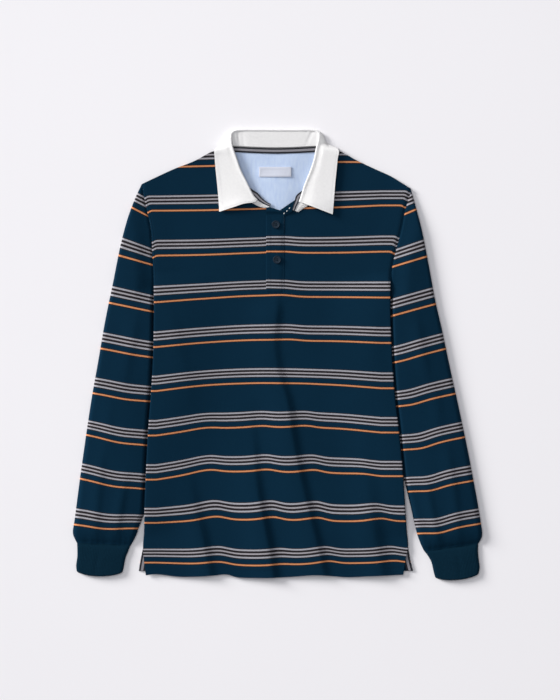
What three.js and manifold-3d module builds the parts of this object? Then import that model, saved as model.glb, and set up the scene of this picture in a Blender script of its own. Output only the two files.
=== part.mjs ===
// Long-sleeve polo shirt, laid flat and face up on a table.
// Millimetres. +Z is up, +Y runs from the hem to the collar, +X is the viewer's right.
// The origin is on the table, under the middle of the laid-out garment.

import * as THREE from 'three';
import { mergeVertices } from 'three/addons/utils/BufferGeometryUtils.js';
import Module from 'manifold-3d';

const wasm = await Module();
wasm.setup();

// ---- Driving sizes ---------------------------------------------------------

const jersey = 1.6; // wall of the striped jersey
const rib = 1.8; // wall of the ribbed cuffs
const woven = 1.2; // wall of the collar and placket
const light = 1.0; // wall of the facing, the tapes and the label
const seamGap = 0.3; // clear space at every seam

const sleeveHeight = 6.5; // a flattened sleeve, both layers
const cuffHeight = 6.4; // a flattened cuff, both layers
const panelTop = 5.3; // top of the front panel where nothing lies under the body
const sideHeight = 5.6; // both body layers at the rolled side
const sideRoll = 3; // how far in from the side the roll reaches
const sleeveRise = sleeveHeight + 0.8; // the back panel's height where it lies on a sleeve
const rampMargin = 4; // how far past a sleeve's hidden edge the back panel stays up
const rampLength = 32; // how far it then takes to come down
const offSleeve = -315; // below this the sleeves are clear of the body
const neckRise = 2.2; // the back panel's height where the collar fall lies under it
const neckRampStart = 316;
const neckRampLength = 30.8;

const armholeFoot = 106; // where the side roll hides the armhole seam
const ventTop = -328;
const frontHem = -376;
const backHem = -367;
const backFlare = 11; // how far the back panel shows past the front at the foot of a vent

const placketLeft = -18.5;
const placketRight = 11;
const placketFoot = 103;
const neckVee = [3, 245];

const facingHalfWidth = 79;
const facingTop = 350.5;
const facingShoulder = 315; // its sides are straight above this
const facingDepth = 122; // from its shoulder to its foot
const neckMiddle = -3;
const neckDip = 3; // how far the back neckline sags in its middle

const tapeWidth = 9.3;
const ventTapeWidth = 10.5;
const labelSize = { width: 55, height: 17, x: -4, y: 311 };
const button = { radius: 6.5, height: 2.4, rim: 1.3, hole: 0.8, holeSpread: 1.7, sides: 18 };
const buttonPlaces = { button_upper: [-2.9, 221.5], button_lower: [-1, 161.8] };

// The body's two outer edges, row by row from the hem to the side of the neck.
const bodyRows = [
  { y: -376, left: -223.6, right: 213.7 },
  { y: -350, left: -226.8, right: 217.2 },
  { y: -328, left: -228.4, right: 221.7 },
  { y: -300, left: -226.6, right: 219.6 },
  { y: -258, left: -225.6, right: 216.8 },
  { y: -195, left: -223, right: 212.6 },
  { y: -132, left: -219.7, right: 206.6 },
  { y: -68, left: -214.9, right: 199.4 },
  { y: -15, left: -211.7, right: 195.5 },
  { y: 50, left: -210, right: 192.5 },
  { y: 106, left: -209.8, right: 191.9 },
  { y: 124, left: -210.2, right: 192 },
  { y: 138, left: -210.8, right: 192.4 },
  { y: 165, left: -212.5, right: 197 },
  { y: 214, left: -215.4, right: 209.6 },
  { y: 250, left: -222.9, right: 216.6 },
  { y: 282.4, left: -229.4, right: 225.9 },
  { y: 290.2, left: -230.4, right: 213.4 },
  { y: 302, left: -205.9, right: 194.7 },
  { y: 316, left: -175.5, right: 164.5 },
  { y: 329.3, left: -141.4, right: 136.2 },
  { y: 346.8, left: -107.3, right: 102.9 },
  { y: 352, left: -84, right: 78 },
];

// Where both body panels have a row, so that they lie on each other evenly.
const panelLevels = [-300, -265, -228, -192, -155, -118, -80, -40, 0, 35, 62, 86, 106, 124, 138, 165, 214,
  250, 282.4, 290.2, 302, 316, 329.3, 346.8];
const armholeLevels = [282.4, 250, 214, 165, 138, 124, 106];
const sideInsets = [sideRoll, 10, 18, 27, 37, 48]; // columns near each side of a panel

// Each sleeve as cross lines from its outer edge to its inner edge, from the armhole to the cuff.
const leftSleeve = [
  { outer: [-230.4, 290.2], inner: [-190, 62] },
  { outer: [-243, 263], inner: [-191.5, 46] },
  { outer: [-256, 227], inner: [-193, 26] },
  { outer: [-268, 180], inner: [-195.5, 0] },
  { outer: [-280, 120], inner: [-198.5, -35] },
  { outer: [-293, 57], inner: [-203, -75] },
  { outer: [-304.5, -10], inner: [-208.5, -120] },
  { outer: [-315.5, -72], inner: [-214, -165] },
  { outer: [-325.5, -138], inner: [-219.5, -212] },
  { outer: [-336, -213], inner: [-226.5, -266] },
  { outer: [-344.3, -277], inner: [-234.5, -290] },
  { outer: [-347.6, -302], inner: [-241, -308] },
  { outer: [-341, -319], inner: [-249, -323] },
];
const rightSleeve = [
  { outer: [225.9, 282.4], inner: [172, 55] },
  { outer: [236, 247], inner: [173.5, 38] },
  { outer: [246, 208], inner: [176, 16] },
  { outer: [257, 152], inner: [180, -12] },
  { outer: [268, 93], inner: [184.5, -45] },
  { outer: [281, 36], inner: [190, -82] },
  { outer: [293, -22], inner: [197, -122] },
  { outer: [305, -76], inner: [204, -160] },
  { outer: [320, -146], inner: [212.5, -200] },
  { outer: [335, -224], inner: [225, -252] },
  { outer: [345, -282], inner: [235.5, -298] },
  { outer: [347.6, -306], inner: [242.5, -319] },
  { outer: [341.5, -320], inner: [249, -333] },
];
const leftCuff = [
  { outer: [-340.5, -319.6], inner: [-249.8, -323.6], bow: 0 },
  { outer: [-340.2, -340], inner: [-257.5, -341], bow: 2 },
  { outer: [-342.5, -358], inner: [-261, -360], bow: 5 },
  { outer: [-341.5, -366.5], inner: [-262.5, -367], bow: 10 },
];
const rightCuff = [
  { outer: [341, -320.6], inner: [249.4, -333.6], bow: 0 },
  { outer: [340.7, -338], inner: [259.8, -347], bow: 1 },
  { outer: [343.4, -362], inner: [265, -368], bow: 5 },
  { outer: [342, -370.5], inner: [268, -377], bow: 9 },
];

// The front panel's largest folds: soft ridges down the lower half.
const frontFolds = [
  { top: [-130, -110], foot: [-98, -352], halfWidth: 26, height: 2.4 },
  { top: [-27, -120], foot: [-4, -300], halfWidth: 24, height: 2.0 },
  { top: [38, -105], foot: [86, -352], halfWidth: 27, height: 2.6 },
  { top: [149, -200], foot: [191, -348], halfWidth: 24, height: 2.2 },
];

// The collar, station by station from its left front end round the back to its right front end.
// neck: the neck seam. roll: the fold line, with its height. edge: the fall's outer edge.
// behind: 0 where the fall lies on the shirt, 1 where it is folded down behind the back neck.
const collarStations = [
  { neck: [-16, 248], roll: [-14.5, 252, 9.8] },
  { neck: [-29, 251], roll: [-24, 257, 10.1] },
  { neck: [-47, 259], roll: [-35.7, 263.5, 10.6], edge: [-99, 243, 8], behind: 0 },
  { neck: [-57, 270], roll: [-41, 272.5, 10.9], edge: [-99.8, 258, 8.2], behind: 0 },
  { neck: [-70, 296], roll: [-51.9, 294.1, 11], edge: [-102.3, 288, 8.4], behind: 0 },
  { neck: [-80, 318], roll: [-62, 314.5, 11.2], edge: [-105, 314, 8.8], behind: 0 },
  { neck: [-87, 337], roll: [-69.5, 336, 11.8], edge: [-106.6, 334, 10], behind: 0 },
  { neck: [-89, 348], roll: [-75.7, 353.6, 13], edge: [-107, 346.5, 11.4], behind: 0 },
  { neck: [-85, 354.2], roll: [-79, 366, 14.4], edge: [-101, 354, 5], behind: 0.55 },
  { neck: [-77, 354.6], roll: [-78, 377.5, 14.2], edge: [-84, 350, 0], behind: 0.9 },
  { neck: [-66, 354.2], roll: [-67, 382.8, 13.4], edge: [-66, 349, 0], behind: 1 },
  { neck: [-36, 352.7], roll: [-37, 383.2, 13.2], edge: [-36, 347.5, 0], behind: 1 },
  { neck: [-4, 351.9], roll: [-4, 383, 13.2], edge: [-4, 347, 0], behind: 1 },
  { neck: [28, 352.6], roll: [29, 383, 13.2], edge: [28, 347.5, 0], behind: 1 },
  { neck: [57, 354.1], roll: [60, 382.8, 13.4], edge: [57, 349, 0], behind: 1 },
  { neck: [69, 354.6], roll: [70.5, 377.5, 14.2], edge: [77, 350, 0], behind: 0.9 },
  { neck: [77, 354.2], roll: [70, 366, 14.4], edge: [96.5, 354, 5], behind: 0.55 },
  { neck: [81, 348], roll: [65.5, 353, 13], edge: [104, 346, 11.6], behind: 0 },
  { neck: [79.5, 336], roll: [62, 335, 11.8], edge: [102, 332, 10], behind: 0 },
  { neck: [73, 319], roll: [57, 318, 11.3], edge: [100, 312, 8.8], behind: 0 },
  { neck: [66, 302], roll: [50.2, 301, 11.1], edge: [98, 292, 8.4], behind: 0 },
  { neck: [58.5, 284], roll: [44.2, 285.6, 10.9], edge: [96.5, 272, 8.2], behind: 0 },
  { neck: [54, 266], roll: [40.5, 270.3, 10.8], edge: [95, 254, 8], behind: 0 },
  { neck: [51, 255], roll: [42, 259, 10.6], edge: [93.7, 238.5, 8], behind: 0 },
  { neck: [41, 246.5], roll: [33.5, 253.5, 10.1] },
  { neck: [34, 241.5], roll: [29.5, 243.2, 9.8] },
];

// ---- Small tools -------------------------------------------------------------

const { clamp, lerp } = THREE.MathUtils;
const smooth = (t) => THREE.MathUtils.smoothstep(t, 0, 1);

// A function that reads one column of a table of rows, straight between the rows.
function readColumn(rows, pick) {
  return (y) => {
    const after = clamp(rows.findIndex((row) => row.y >= y), 1, rows.length - 1);
    const a = rows[after - 1];
    const b = rows[y > rows.at(-1).y ? rows.length - 1 : after];
    return lerp(pick(a), pick(b), clamp((y - a.y) / (b.y - a.y || 1), 0, 1));
  };
}

const leftEdge = readColumn(bodyRows, (row) => row.left);
const rightEdge = readColumn(bodyRows, (row) => row.right);

// Closes two grids of points, an outer and an inner face, into one wall.
// A ring's rows close on themselves; a sheet's rows have two side edges.
function wallGeometry(outer, inner, isRing) {
  const rows = outer.length;
  const columns = outer[0].length;
  const positions = [];
  const index = [];
  for (const grid of [outer, inner]) {
    for (const row of grid) {
      for (const point of row) positions.push(point.x, point.y, point.z);
    }
  }
  const at = (face, row, column) => (face * rows + row) * columns + (column % columns);
  const quad = (a, b, c, d) => index.push(a, b, c, a, c, d);
  const spans = isRing ? columns : columns - 1;
  for (let j = 0; j < rows - 1; j += 1) {
    for (let i = 0; i < spans; i += 1) {
      quad(at(0, j, i), at(0, j, i + 1), at(0, j + 1, i + 1), at(0, j + 1, i));
      quad(at(1, j, i), at(1, j + 1, i), at(1, j + 1, i + 1), at(1, j, i + 1));
    }
  }
  for (let i = 0; i < spans; i += 1) {
    quad(at(0, 0, i), at(1, 0, i), at(1, 0, i + 1), at(0, 0, i + 1));
    quad(at(0, rows - 1, i), at(0, rows - 1, i + 1), at(1, rows - 1, i + 1), at(1, rows - 1, i));
  }
  for (let j = 0; j < rows - 1 && !isRing; j += 1) {
    quad(at(0, j, 0), at(0, j + 1, 0), at(1, j + 1, 0), at(1, j, 0));
    const last = columns - 1;
    quad(at(0, j, last), at(1, j, last), at(1, j + 1, last), at(0, j + 1, last));
  }
  return facingOut(positions, index);
}

// Makes a geometry whose faces point out, whichever way its rows ran.
function facingOut(positions, index) {
  const a = new THREE.Vector3();
  const b = new THREE.Vector3();
  const c = new THREE.Vector3();
  let volume = 0;
  for (let i = 0; i < index.length; i += 3) {
    a.fromArray(positions, index[i] * 3);
    b.fromArray(positions, index[i + 1] * 3);
    c.fromArray(positions, index[i + 2] * 3);
    volume += a.dot(b.cross(c));
  }
  if (volume < 0) index.reverse();
  const geometry = new THREE.BufferGeometry();
  geometry.setAttribute('position', new THREE.Float32BufferAttribute(positions, 3));
  geometry.setIndex(index);
  return geometry;
}

// The other face of a sheet: each point moved by the wall against the sheet's own normal.
function offsetGrid(grid, wall) {
  const pick = (j, i) => grid[clamp(j, 0, grid.length - 1)][clamp(i, 0, grid[0].length - 1)];
  return grid.map((row, j) => row.map((point, i) => {
    const along = pick(j, i + 1).clone().sub(pick(j, i - 1));
    const across = pick(j + 1, i).clone().sub(pick(j - 1, i));
    const normal = across.cross(along).normalize();
    return point.clone().addScaledVector(normal, -wall);
  }));
}

function toSolid(geometry) {
  const bare = geometry.clone();
  bare.deleteAttribute('normal');
  bare.deleteAttribute('uv');
  const merged = mergeVertices(bare, 1e-4);
  return new wasm.Manifold(new wasm.Mesh({
    numProp: 3,
    vertProperties: new Float32Array(merged.attributes.position.array),
    triVerts: new Uint32Array(merged.index.array),
  }));
}

function cutAway(geometry, tools) {
  let solid = toSolid(geometry);
  for (const tool of tools) solid = solid.subtract(toSolid(tool));
  const mesh = solid.getMesh();
  const result = new THREE.BufferGeometry();
  result.setAttribute('position', new THREE.Float32BufferAttribute(mesh.vertProperties, 3));
  result.setIndex(Array.from(mesh.triVerts));
  return result;
}

// An upright prism on a plan outline.
function prism(outline, low, high) {
  const shape = new THREE.Shape(outline.map(([x, y]) => new THREE.Vector2(x, y)));
  const geometry = new THREE.ExtrudeGeometry(shape, { depth: high - low, bevelEnabled: false });
  return geometry.translate(0, 0, low);
}

const shirt = new THREE.Group();

function addPiece(name, geometry, colour, roughness) {
  const material = new THREE.MeshStandardMaterial({ color: colour, roughness, metalness: 0 });
  const mesh = new THREE.Mesh(geometry, material);
  mesh.name = name;
  shirt.add(mesh);
}

const finishes = {
  jersey: ['#1b3347', 0.85],
  rib: ['#142a3a', 0.9],
  white: ['#ececec', 0.8],
  blue: ['#b3c4e5', 0.75],
  tape: ['#5b5b63', 0.8],
  label: ['#e2e6f2', 0.6],
  button: ['#18222e', 0.35],
};

// ---- How high the cloth lies ---------------------------------------------------

// The x of a sleeve's hidden inner edge at a given y, from its cross lines.
function innerEdge(sections) {
  const rows = sections.map(({ inner }) => ({ x: inner[0], y: inner[1] })).reverse();
  return readColumn(rows, (row) => row.x);
}
const leftInner = innerEdge(leftSleeve);
const rightInner = innerEdge(rightSleeve);

// Between the armhole's foot and its hidden end the seam runs in under the body.
function hiddenArmhole(y, edge, inner, end) {
  return y > end ? lerp(inner(end), edge(armholeFoot), clamp((y - end) / (armholeFoot - end), 0, 1)) : inner(y);
}

// Height of the table side of the back panel: up over the sleeves, and up at the neck.
function bodyRise(x, y) {
  const leftLine = hiddenArmhole(y, leftEdge, leftInner, leftSleeve[0].inner[1]);
  const rightLine = hiddenArmhole(y, rightEdge, rightInner, rightSleeve[0].inner[1]);
  const inFromSleeve = Math.min(x - leftLine, rightLine - x);
  const overSleeve = smooth(1 - (inFromSleeve - rampMargin) / rampLength);
  const belowArmhole = smooth((armholeFoot + 38 - y) / 38);
  const aboveCuffs = smooth((y - offSleeve) / 45);
  const atNeck = clamp((y - neckRampStart) / neckRampLength, 0, 1);
  return sleeveRise * overSleeve * belowArmhole * aboveCuffs + neckRise * atNeck;
}

// Both layers' height at the side: a rolled side below the armhole, a sleeve's height above it.
function edgeHeight(y) {
  return lerp(sideHeight, sleeveHeight, smooth((y - armholeFoot + 20) / 40));
}

// 1 where the side is rolled or sewn shut, 0 where it opens into the sleeve or the vent.
function edgeClosed(y) {
  const belowArmhole = smooth((armholeFoot + 22 - y) / 26);
  const shoulder = smooth((y - 286) / 10);
  const aboveVent = smooth((y - ventTop) / 10);
  return Math.max(belowArmhole * aboveVent, shoulder);
}

function foldHeight(x, y) {
  let height = 0;
  for (const fold of frontFolds) {
    const along = clamp((fold.top[1] - y) / (fold.top[1] - fold.foot[1]), -0.2, 1.2);
    const middle = lerp(fold.top[0], fold.foot[0], along);
    const across = clamp(1 - Math.abs(x - middle) / fold.halfWidth, 0, 1);
    height += fold.height * smooth(across) * smooth((along + 0.2) / 0.5) * smooth((1.3 - along) / 0.25);
  }
  return height;
}

function frontTop(x, y) {
  const inFromEdge = Math.min(x - leftEdge(y), rightEdge(y) - x);
  const nearEdge = smooth(1 - inFromEdge / 45);
  return bodyRise(x, y) + lerp(panelTop, edgeHeight(y), nearEdge) + foldHeight(x, y);
}

// ---- Front and back panels -------------------------------------------------------

// One row of a body panel, from the left side to the right side: its outer and inner face.
// side is +1 for the front, whose outer face is up, and -1 for the back, whose outer face is down.
function panelRow(y, left, right, middleSpans, side, surface) {
  const outer = [];
  const inner = [];
  const closed = edgeClosed(y);
  const middleHeight = (x) => bodyRise(x, y) + edgeHeight(y) / 2 + side * seamGap / 2;
  const push = (x, z, normalX, normalZ) => {
    outer.push(new THREE.Vector3(x, y, z));
    inner.push(new THREE.Vector3(x - jersey * normalX, y, z - jersey * normalZ));
  };
  const roll = (edgeX, inward, angle) => {
    const x = edgeX + inward * sideRoll * (1 - Math.cos(angle));
    const flat = surface(x, y);
    const rolled = lerp(middleHeight(edgeX), flat, Math.sin(angle));
    const tilt = closed * Math.cos(angle);
    push(x, lerp(flat, rolled, closed), -inward * tilt, side * lerp(1, Math.sin(angle), closed));
  };
  const quarter = Math.PI / 2;
  const lastInset = sideInsets.at(-1);
  const columns = sideInsets.slice(1).map((inset) => left + inset);
  for (let i = 1; i < middleSpans; i += 1) {
    columns.push(lerp(left + lastInset, right - lastInset, i / middleSpans));
  }
  columns.push(...sideInsets.slice(1).map((inset) => right - inset).reverse());
  for (const angle of [0, quarter / 2, quarter]) roll(left, 1, angle);
  for (const x of columns) push(x, surface(x, y), 0, side);
  for (const angle of [quarter, quarter / 2, 0]) roll(right, -1, angle);
  return { outer, inner };
}

function panel(levels, middleSpans, side, surface, spread, shift) {
  const rows = levels.map((y) => panelRow(
    y,
    leftEdge(y) + seamGap / 2 - spread(y),
    rightEdge(y) - seamGap / 2 + spread(y),
    middleSpans,
    side,
    surface,
  ));
  for (const { outer, inner } of rows) {
    for (const point of [...outer, ...inner]) point.y -= shift(point.x, point.y);
  }
  return wallGeometry(rows.map((row) => row.outer), rows.map((row) => row.inner), false);
}

const neckOutline = collarStations.map(({ neck }) => neck);
const frontLevels = [frontHem, -352, ventTop, ...panelLevels, 352];
const frontNeck = prism([
  [placketRight + seamGap, placketFoot - seamGap],
  [placketRight + seamGap, 237],
  ...neckOutline.filter(([x, y]) => x > 20 && y < 352).reverse(),
  [86, 348.5],
  [86, 400],
  [-94, 400],
  [-94, 348.5],
  ...neckOutline.filter(([x, y]) => x < -10 && y < 352).reverse(),
  [placketLeft - seamGap, 242],
  [placketLeft - seamGap, placketFoot - seamGap],
], -5, 60);
const none = () => 0;
const frontShell = panel(frontLevels, 12, 1, frontTop, none, none);
addPiece('front_body', cutAway(frontShell, [frontNeck]), ...finishes.jersey);

const neckSag = (x) => neckDip * clamp(1 - ((x - neckMiddle) / 76) ** 2, 0, 1) - 1;
const backLevels = [backHem, -348, ventTop, ...panelLevels, 352];
const backSpread = (y) => backFlare * clamp((ventTop - y) / (ventTop - backHem), 0, 1);
const backShift = (x, y) => neckSag(x) * smooth((y - 325) / 28);
addPiece('back_body', panel(backLevels, 4, -1, bodyRise, backSpread, backShift), ...finishes.jersey);

// ---- Sleeves and cuffs -------------------------------------------------------------

// Points round a flattened tube over a cross line. line gives the plan point at 0 to 1, and
// fractions are where along it the flat of the tube has its points.
function tubeRing(line, fractions, height, wall) {
  const width = line(0).distanceTo(line(1));
  const halfHeight = height / 2;
  const roundness = halfHeight * 1.2;
  const insets = [0, 0.3 * roundness, roundness];
  const stations = [...insets, ...fractions.map((t) => t * width),
    ...insets.toReversed().map((inset) => width - inset)];
  const lift = (inset) => halfHeight * Math.sqrt(1 - (1 - clamp(inset / roundness, 0, 1)) ** 2);
  const onTop = stations.map((s) => [s, lift(Math.min(s, width - s))]);
  const below = onTop.slice(1, -1).toReversed().map(([s, z]) => [s, -z]);
  return [...onTop, ...below].map(([s, z]) => {
    const plan = line(s / width);
    const inside = line(lerp(s / width, 0.5, 2 * wall / width));
    return {
      outer: new THREE.Vector3(plan.x, plan.y, halfHeight + z),
      inner: new THREE.Vector3(inside.x, inside.y, halfHeight + z * (1 - wall / halfHeight)),
    };
  });
}

function tube(lines, fractions, height, wall) {
  const rings = lines.map((line) => tubeRing(line, fractions, height, wall));
  const outer = rings.map((ring) => ring.map((point) => point.outer));
  const inner = rings.map((ring) => ring.map((point) => point.inner));
  return wallGeometry(outer, inner, true);
}

// The armhole seam in plan: down the body's edge, then in under the body to its end.
function armhole(first, edge, outward) {
  return (t) => {
    const y = lerp(first.outer[1], first.inner[1], t);
    const hidden = clamp((armholeFoot - y) / (armholeFoot - first.inner[1]), 0, 1);
    const x = lerp(edge(Math.max(y, armholeFoot)), first.inner[0], hidden);
    return new THREE.Vector2(x + outward * seamGap, y);
  };
}

// A sleeve's cross lines are straight, and near the armhole they share its curve.
function sleeveLines(sections, edge, outward) {
  const seam = armhole(sections[0], edge, outward);
  const straight = ({ outer, inner }, t) => (
    new THREE.Vector2(...outer).lerp(new THREE.Vector2(...inner), t));
  return sections.map((section, k) => (t) => {
    const curve = seam(t).sub(straight(sections[0], t));
    return straight(section, t).addScaledVector(curve, clamp(1 - k / 4, 0, 1));
  });
}

function sleeve(sections, edge, outward) {
  const { outer, inner } = sections[0];
  const fractions = armholeLevels.map((y) => (outer[1] - y) / (outer[1] - inner[1]));
  const onFlat = fractions.filter((t) => t > 0.02);
  return tube(sleeveLines(sections, edge, outward), onFlat, sleeveHeight, jersey);
}

const cuffPoints = [0.2, 0.4, 0.6, 0.8];

function cuffLines(sections) {
  return sections.map(({ outer, inner, bow }) => (t) => {
    const point = new THREE.Vector2(...outer).lerp(new THREE.Vector2(...inner), t);
    point.y -= bow * Math.sqrt(Math.max(0, Math.sin(Math.PI * t)));
    return point;
  });
}

addPiece('sleeve_left', sleeve(leftSleeve, leftEdge, -1), ...finishes.jersey);
addPiece('sleeve_right', sleeve(rightSleeve, rightEdge, 1), ...finishes.jersey);
addPiece('cuff_left', tube(cuffLines(leftCuff), cuffPoints, cuffHeight, rib), ...finishes.rib);
addPiece('cuff_right', tube(cuffLines(rightCuff), cuffPoints, cuffHeight, rib), ...finishes.rib);

// ---- Facing, label and tapes on the inside of the back --------------------------------

const facingLift = jersey + 1.7 * seamGap;
const tapeLift = facingLift + light + 2 * seamGap;

// A flat piece laid on the back panel: a grid of plan points, raised by lift.
function laidSheet(grid, lift, wall) {
  const raise = (extra) => grid.map((row) => row.map(([x, y]) => (
    new THREE.Vector3(x, y, bodyRise(x, y) + lift + extra))));
  return wallGeometry(raise(wall), raise(0), false);
}

// The facing's points stand in columns from its curved foot up to the neck seam.
const facingColumns = [];
for (let i = 0; i <= 10; i += 1) {
  const u = Math.sin((i / 10 - 0.5) * Math.PI);
  const x = neckMiddle + facingHalfWidth * u;
  const foot = facingShoulder - facingDepth * Math.sqrt(1 - u * u);
  const levels = [foot, lerp(foot, neckRampStart, 0.35), lerp(foot, neckRampStart, 0.7), neckRampStart,
    neckRampStart + 15, facingTop - neckSag(x)];
  facingColumns.push(levels.map((y, j) => [x, Math.max(y, foot + 0.8 * j)]));
}
const facingGrid = facingColumns[0].map((_, j) => facingColumns.map((column) => column[j]));
addPiece('neck_facing', laidSheet(facingGrid, facingLift, light), ...finishes.blue);

const labelBox = new THREE.BoxGeometry(labelSize.width, labelSize.height, light);
labelBox.translate(labelSize.x, labelSize.y, tapeLift + light / 2);
addPiece('label', labelBox, ...finishes.label);

// The neck tape runs just inside the neck seam and narrows at its left front end.
function outwardAt(points, k) {
  const before = points[Math.max(k - 1, 0)];
  const after = points[Math.min(k + 1, points.length - 1)];
  const along = new THREE.Vector2(after[0] - before[0], after[1] - before[1]).normalize();
  return new THREE.Vector2(-along.y, along.x);
}

const tapeGrid = [0, 1].map((edge) => neckOutline.map(([x, y], k) => {
  const outward = outwardAt(neckOutline, k);
  const width = lerp(5, tapeWidth, smooth(k / 3));
  const inward = seamGap + 0.5 + edge * width;
  return [x - outward.x * inward, y - outward.y * inward];
}));
addPiece('neck_tape', laidSheet(tapeGrid, tapeLift, light), ...finishes.tape);

// A vent tape lies along the back panel's side edge, from the hem to the top of the vent.
function ventTape(edge, inward) {
  const levels = [backHem + 0.5, -354, -341, ventTop];
  return levels.map((y) => {
    const x = edge(y) - inward * (backSpread(y) - seamGap);
    return [[x, y], [x + inward * ventTapeWidth, y]];
  });
}
addPiece('vent_tape_left', laidSheet(ventTape(leftEdge, 1), facingLift, light), ...finishes.tape);
addPiece('vent_tape_right', laidSheet(ventTape(rightEdge, -1), facingLift, light), ...finishes.tape);

// ---- Placket and buttons ------------------------------------------------------------------

const underLow = panelTop - jersey;
const underTop = underLow + woven;
const upperLow = panelTop + seamGap;
const upperTop = upperLow + woven;
addPiece('placket_under', prism([
  [placketLeft + 1, placketFoot + 1],
  [placketRight - 0.5, placketFoot + 1],
  [placketRight - 0.5, 238],
  [neckVee[0], neckVee[1] - 1.5],
  [placketLeft + 6.5, 245.5],
  [placketLeft + 1, 241],
], underLow, underTop), ...finishes.jersey);
addPiece('placket_upper', prism([
  [placketLeft, placketFoot],
  [placketRight, placketFoot],
  [placketRight, 236.5],
  [22, 241.5],
  [29.5, 255.5],
  [31.5, 264],
  neckVee,
  [placketLeft + 6.7, 248.8],
  [placketLeft + 5.7, 243.5],
  [placketLeft, 241.5],
], upperLow, upperTop), ...finishes.jersey);

function buttonGeometry() {
  const profile = [
    [0, 0], [button.radius * 0.7, 0], [button.radius, button.height * 0.45],
    [button.radius, button.height * 0.75], [button.radius - 0.5, button.height],
    [button.radius - button.rim, button.height], [button.radius - button.rim - 0.7, button.height * 0.7],
    [0, button.height * 0.7],
  ].map(([r, z]) => new THREE.Vector2(r, z));
  const disc = new THREE.LatheGeometry(profile, button.sides).rotateX(Math.PI / 2);
  const holes = [45, 135, 225, 315].map((degrees) => {
    const turn = THREE.MathUtils.degToRad(degrees);
    const hole = new THREE.CylinderGeometry(button.hole, button.hole, 10, 6).rotateX(Math.PI / 2);
    return hole.translate(button.holeSpread * Math.cos(turn), button.holeSpread * Math.sin(turn), 0);
  });
  return cutAway(disc, holes);
}
for (const [name, [x, y]] of Object.entries(buttonPlaces)) {
  addPiece(name, buttonGeometry().translate(x, y, upperTop + seamGap), ...finishes.button);
}

// ---- Collar --------------------------------------------------------------------------------

const rollOutline = collarStations.map(({ roll }) => roll);

// The stand's neck side: from the neck seam up to just under the fold line.
const standLap = 3; // how far the stand's foot lies on the front panel
const standGrid = collarStations.map(({ neck, roll, behind = 0 }, k) => {
  const neckOut = outwardAt(neckOutline, k);
  const rollOut = outwardAt(rollOutline, k);
  const lap = lerp(standLap, 0.9, smooth(behind));
  const footX = neck[0] + neckOut.x * lap;
  const footY = neck[1] + neckOut.y * lap;
  const onFront = frontTop(footX, Math.min(footY, 350)) + seamGap;
  const foot = new THREE.Vector3(footX, footY, lerp(onFront, neckRise + 1.8, smooth(behind * 1.4)));
  const tuck = lerp(1.2, -3.4, behind);
  const top = new THREE.Vector3(
    roll[0] + rollOut.x * tuck,
    roll[1] + rollOut.y * tuck,
    roll[2] - lerp(4.2, 3.2, behind),
  );
  return [0, 0.33, 0.67, 1].map((t) => foot.clone().lerp(top, t));
});
addPiece('collar_stand', wallGeometry(standGrid, offsetGrid(standGrid, woven), false), ...finishes.white);

// The fall's outer face: over the fold line, then down on the shirt or down behind the neck.
const fallGrid = collarStations.map(({ roll, edge, behind }, k) => {
  if (!edge) return null;
  const out = outwardAt(rollOutline, k);
  const [x, y, z] = roll;
  const step = (distance, height) => new THREE.Vector3(x + out.x * distance, y + out.y * distance, height);
  const toEdge = (t, drop) => new THREE.Vector3(
    lerp(x, edge[0], t), lerp(y, edge[1], t), lerp(z, edge[2], drop));
  const onShirt = [step(0, z - 1.3), step(1.3, z), step(6, z - 0.7), toEdge(0.35, 0.42), toEdge(0.6, 0.68),
    toEdge(0.82, 0.88), toEdge(1, 1)];
  const swell = 14 * 4 * behind * (1 - behind);
  const folded = [step(-3, z - 0.9), step(-1, z), step(0.3 * swell, z - 2.6), step(swell, z * 0.5),
    step(swell - 1.2, 2.4), step(swell - 5, 0), new THREE.Vector3(edge[0], edge[1], 0)];
  return onShirt.map((point, i) => point.lerp(folded[i], behind));
}).filter(Boolean);
addPiece('collar_fall', wallGeometry(fallGrid, offsetGrid(fallGrid, woven), false), ...finishes.white);

export default shirt;
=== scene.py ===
"""Long-sleeve polo shirt in striped jersey, laid flat and face up on a pale table.

Plan and heights are worked out in millimetres, with +Y from the hem to the collar and +X the
viewer's right. Every mesh is written in metres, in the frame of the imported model.
"""

import bpy
import numpy as np
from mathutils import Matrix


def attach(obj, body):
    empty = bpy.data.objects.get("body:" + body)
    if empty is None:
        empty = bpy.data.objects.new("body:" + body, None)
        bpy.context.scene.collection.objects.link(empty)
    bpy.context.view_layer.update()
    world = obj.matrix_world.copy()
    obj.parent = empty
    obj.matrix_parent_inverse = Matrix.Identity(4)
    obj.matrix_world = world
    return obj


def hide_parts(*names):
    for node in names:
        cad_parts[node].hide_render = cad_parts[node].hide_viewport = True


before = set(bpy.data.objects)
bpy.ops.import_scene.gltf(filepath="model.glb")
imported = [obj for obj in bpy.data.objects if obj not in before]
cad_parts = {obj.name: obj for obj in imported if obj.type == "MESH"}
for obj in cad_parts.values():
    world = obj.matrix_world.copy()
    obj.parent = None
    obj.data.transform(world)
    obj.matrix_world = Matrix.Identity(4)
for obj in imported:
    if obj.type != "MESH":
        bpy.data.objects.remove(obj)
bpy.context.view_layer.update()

# ---- Table, light and camera --------------------------------------------------------------
# A plain pale table top under soft daylight from the left, and a camera hung straight above it
# with a long lens. The whole shirt is in view, with room all round.

TABLE_COLOUR = (0.885, 0.875, 0.90, 1)
VIEW_CENTRE = (0.00425, 0.0085)
VIEW_HEIGHT = 1.19
CAMERA_HEIGHT = 5.0
SENSOR = 36.0


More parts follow.
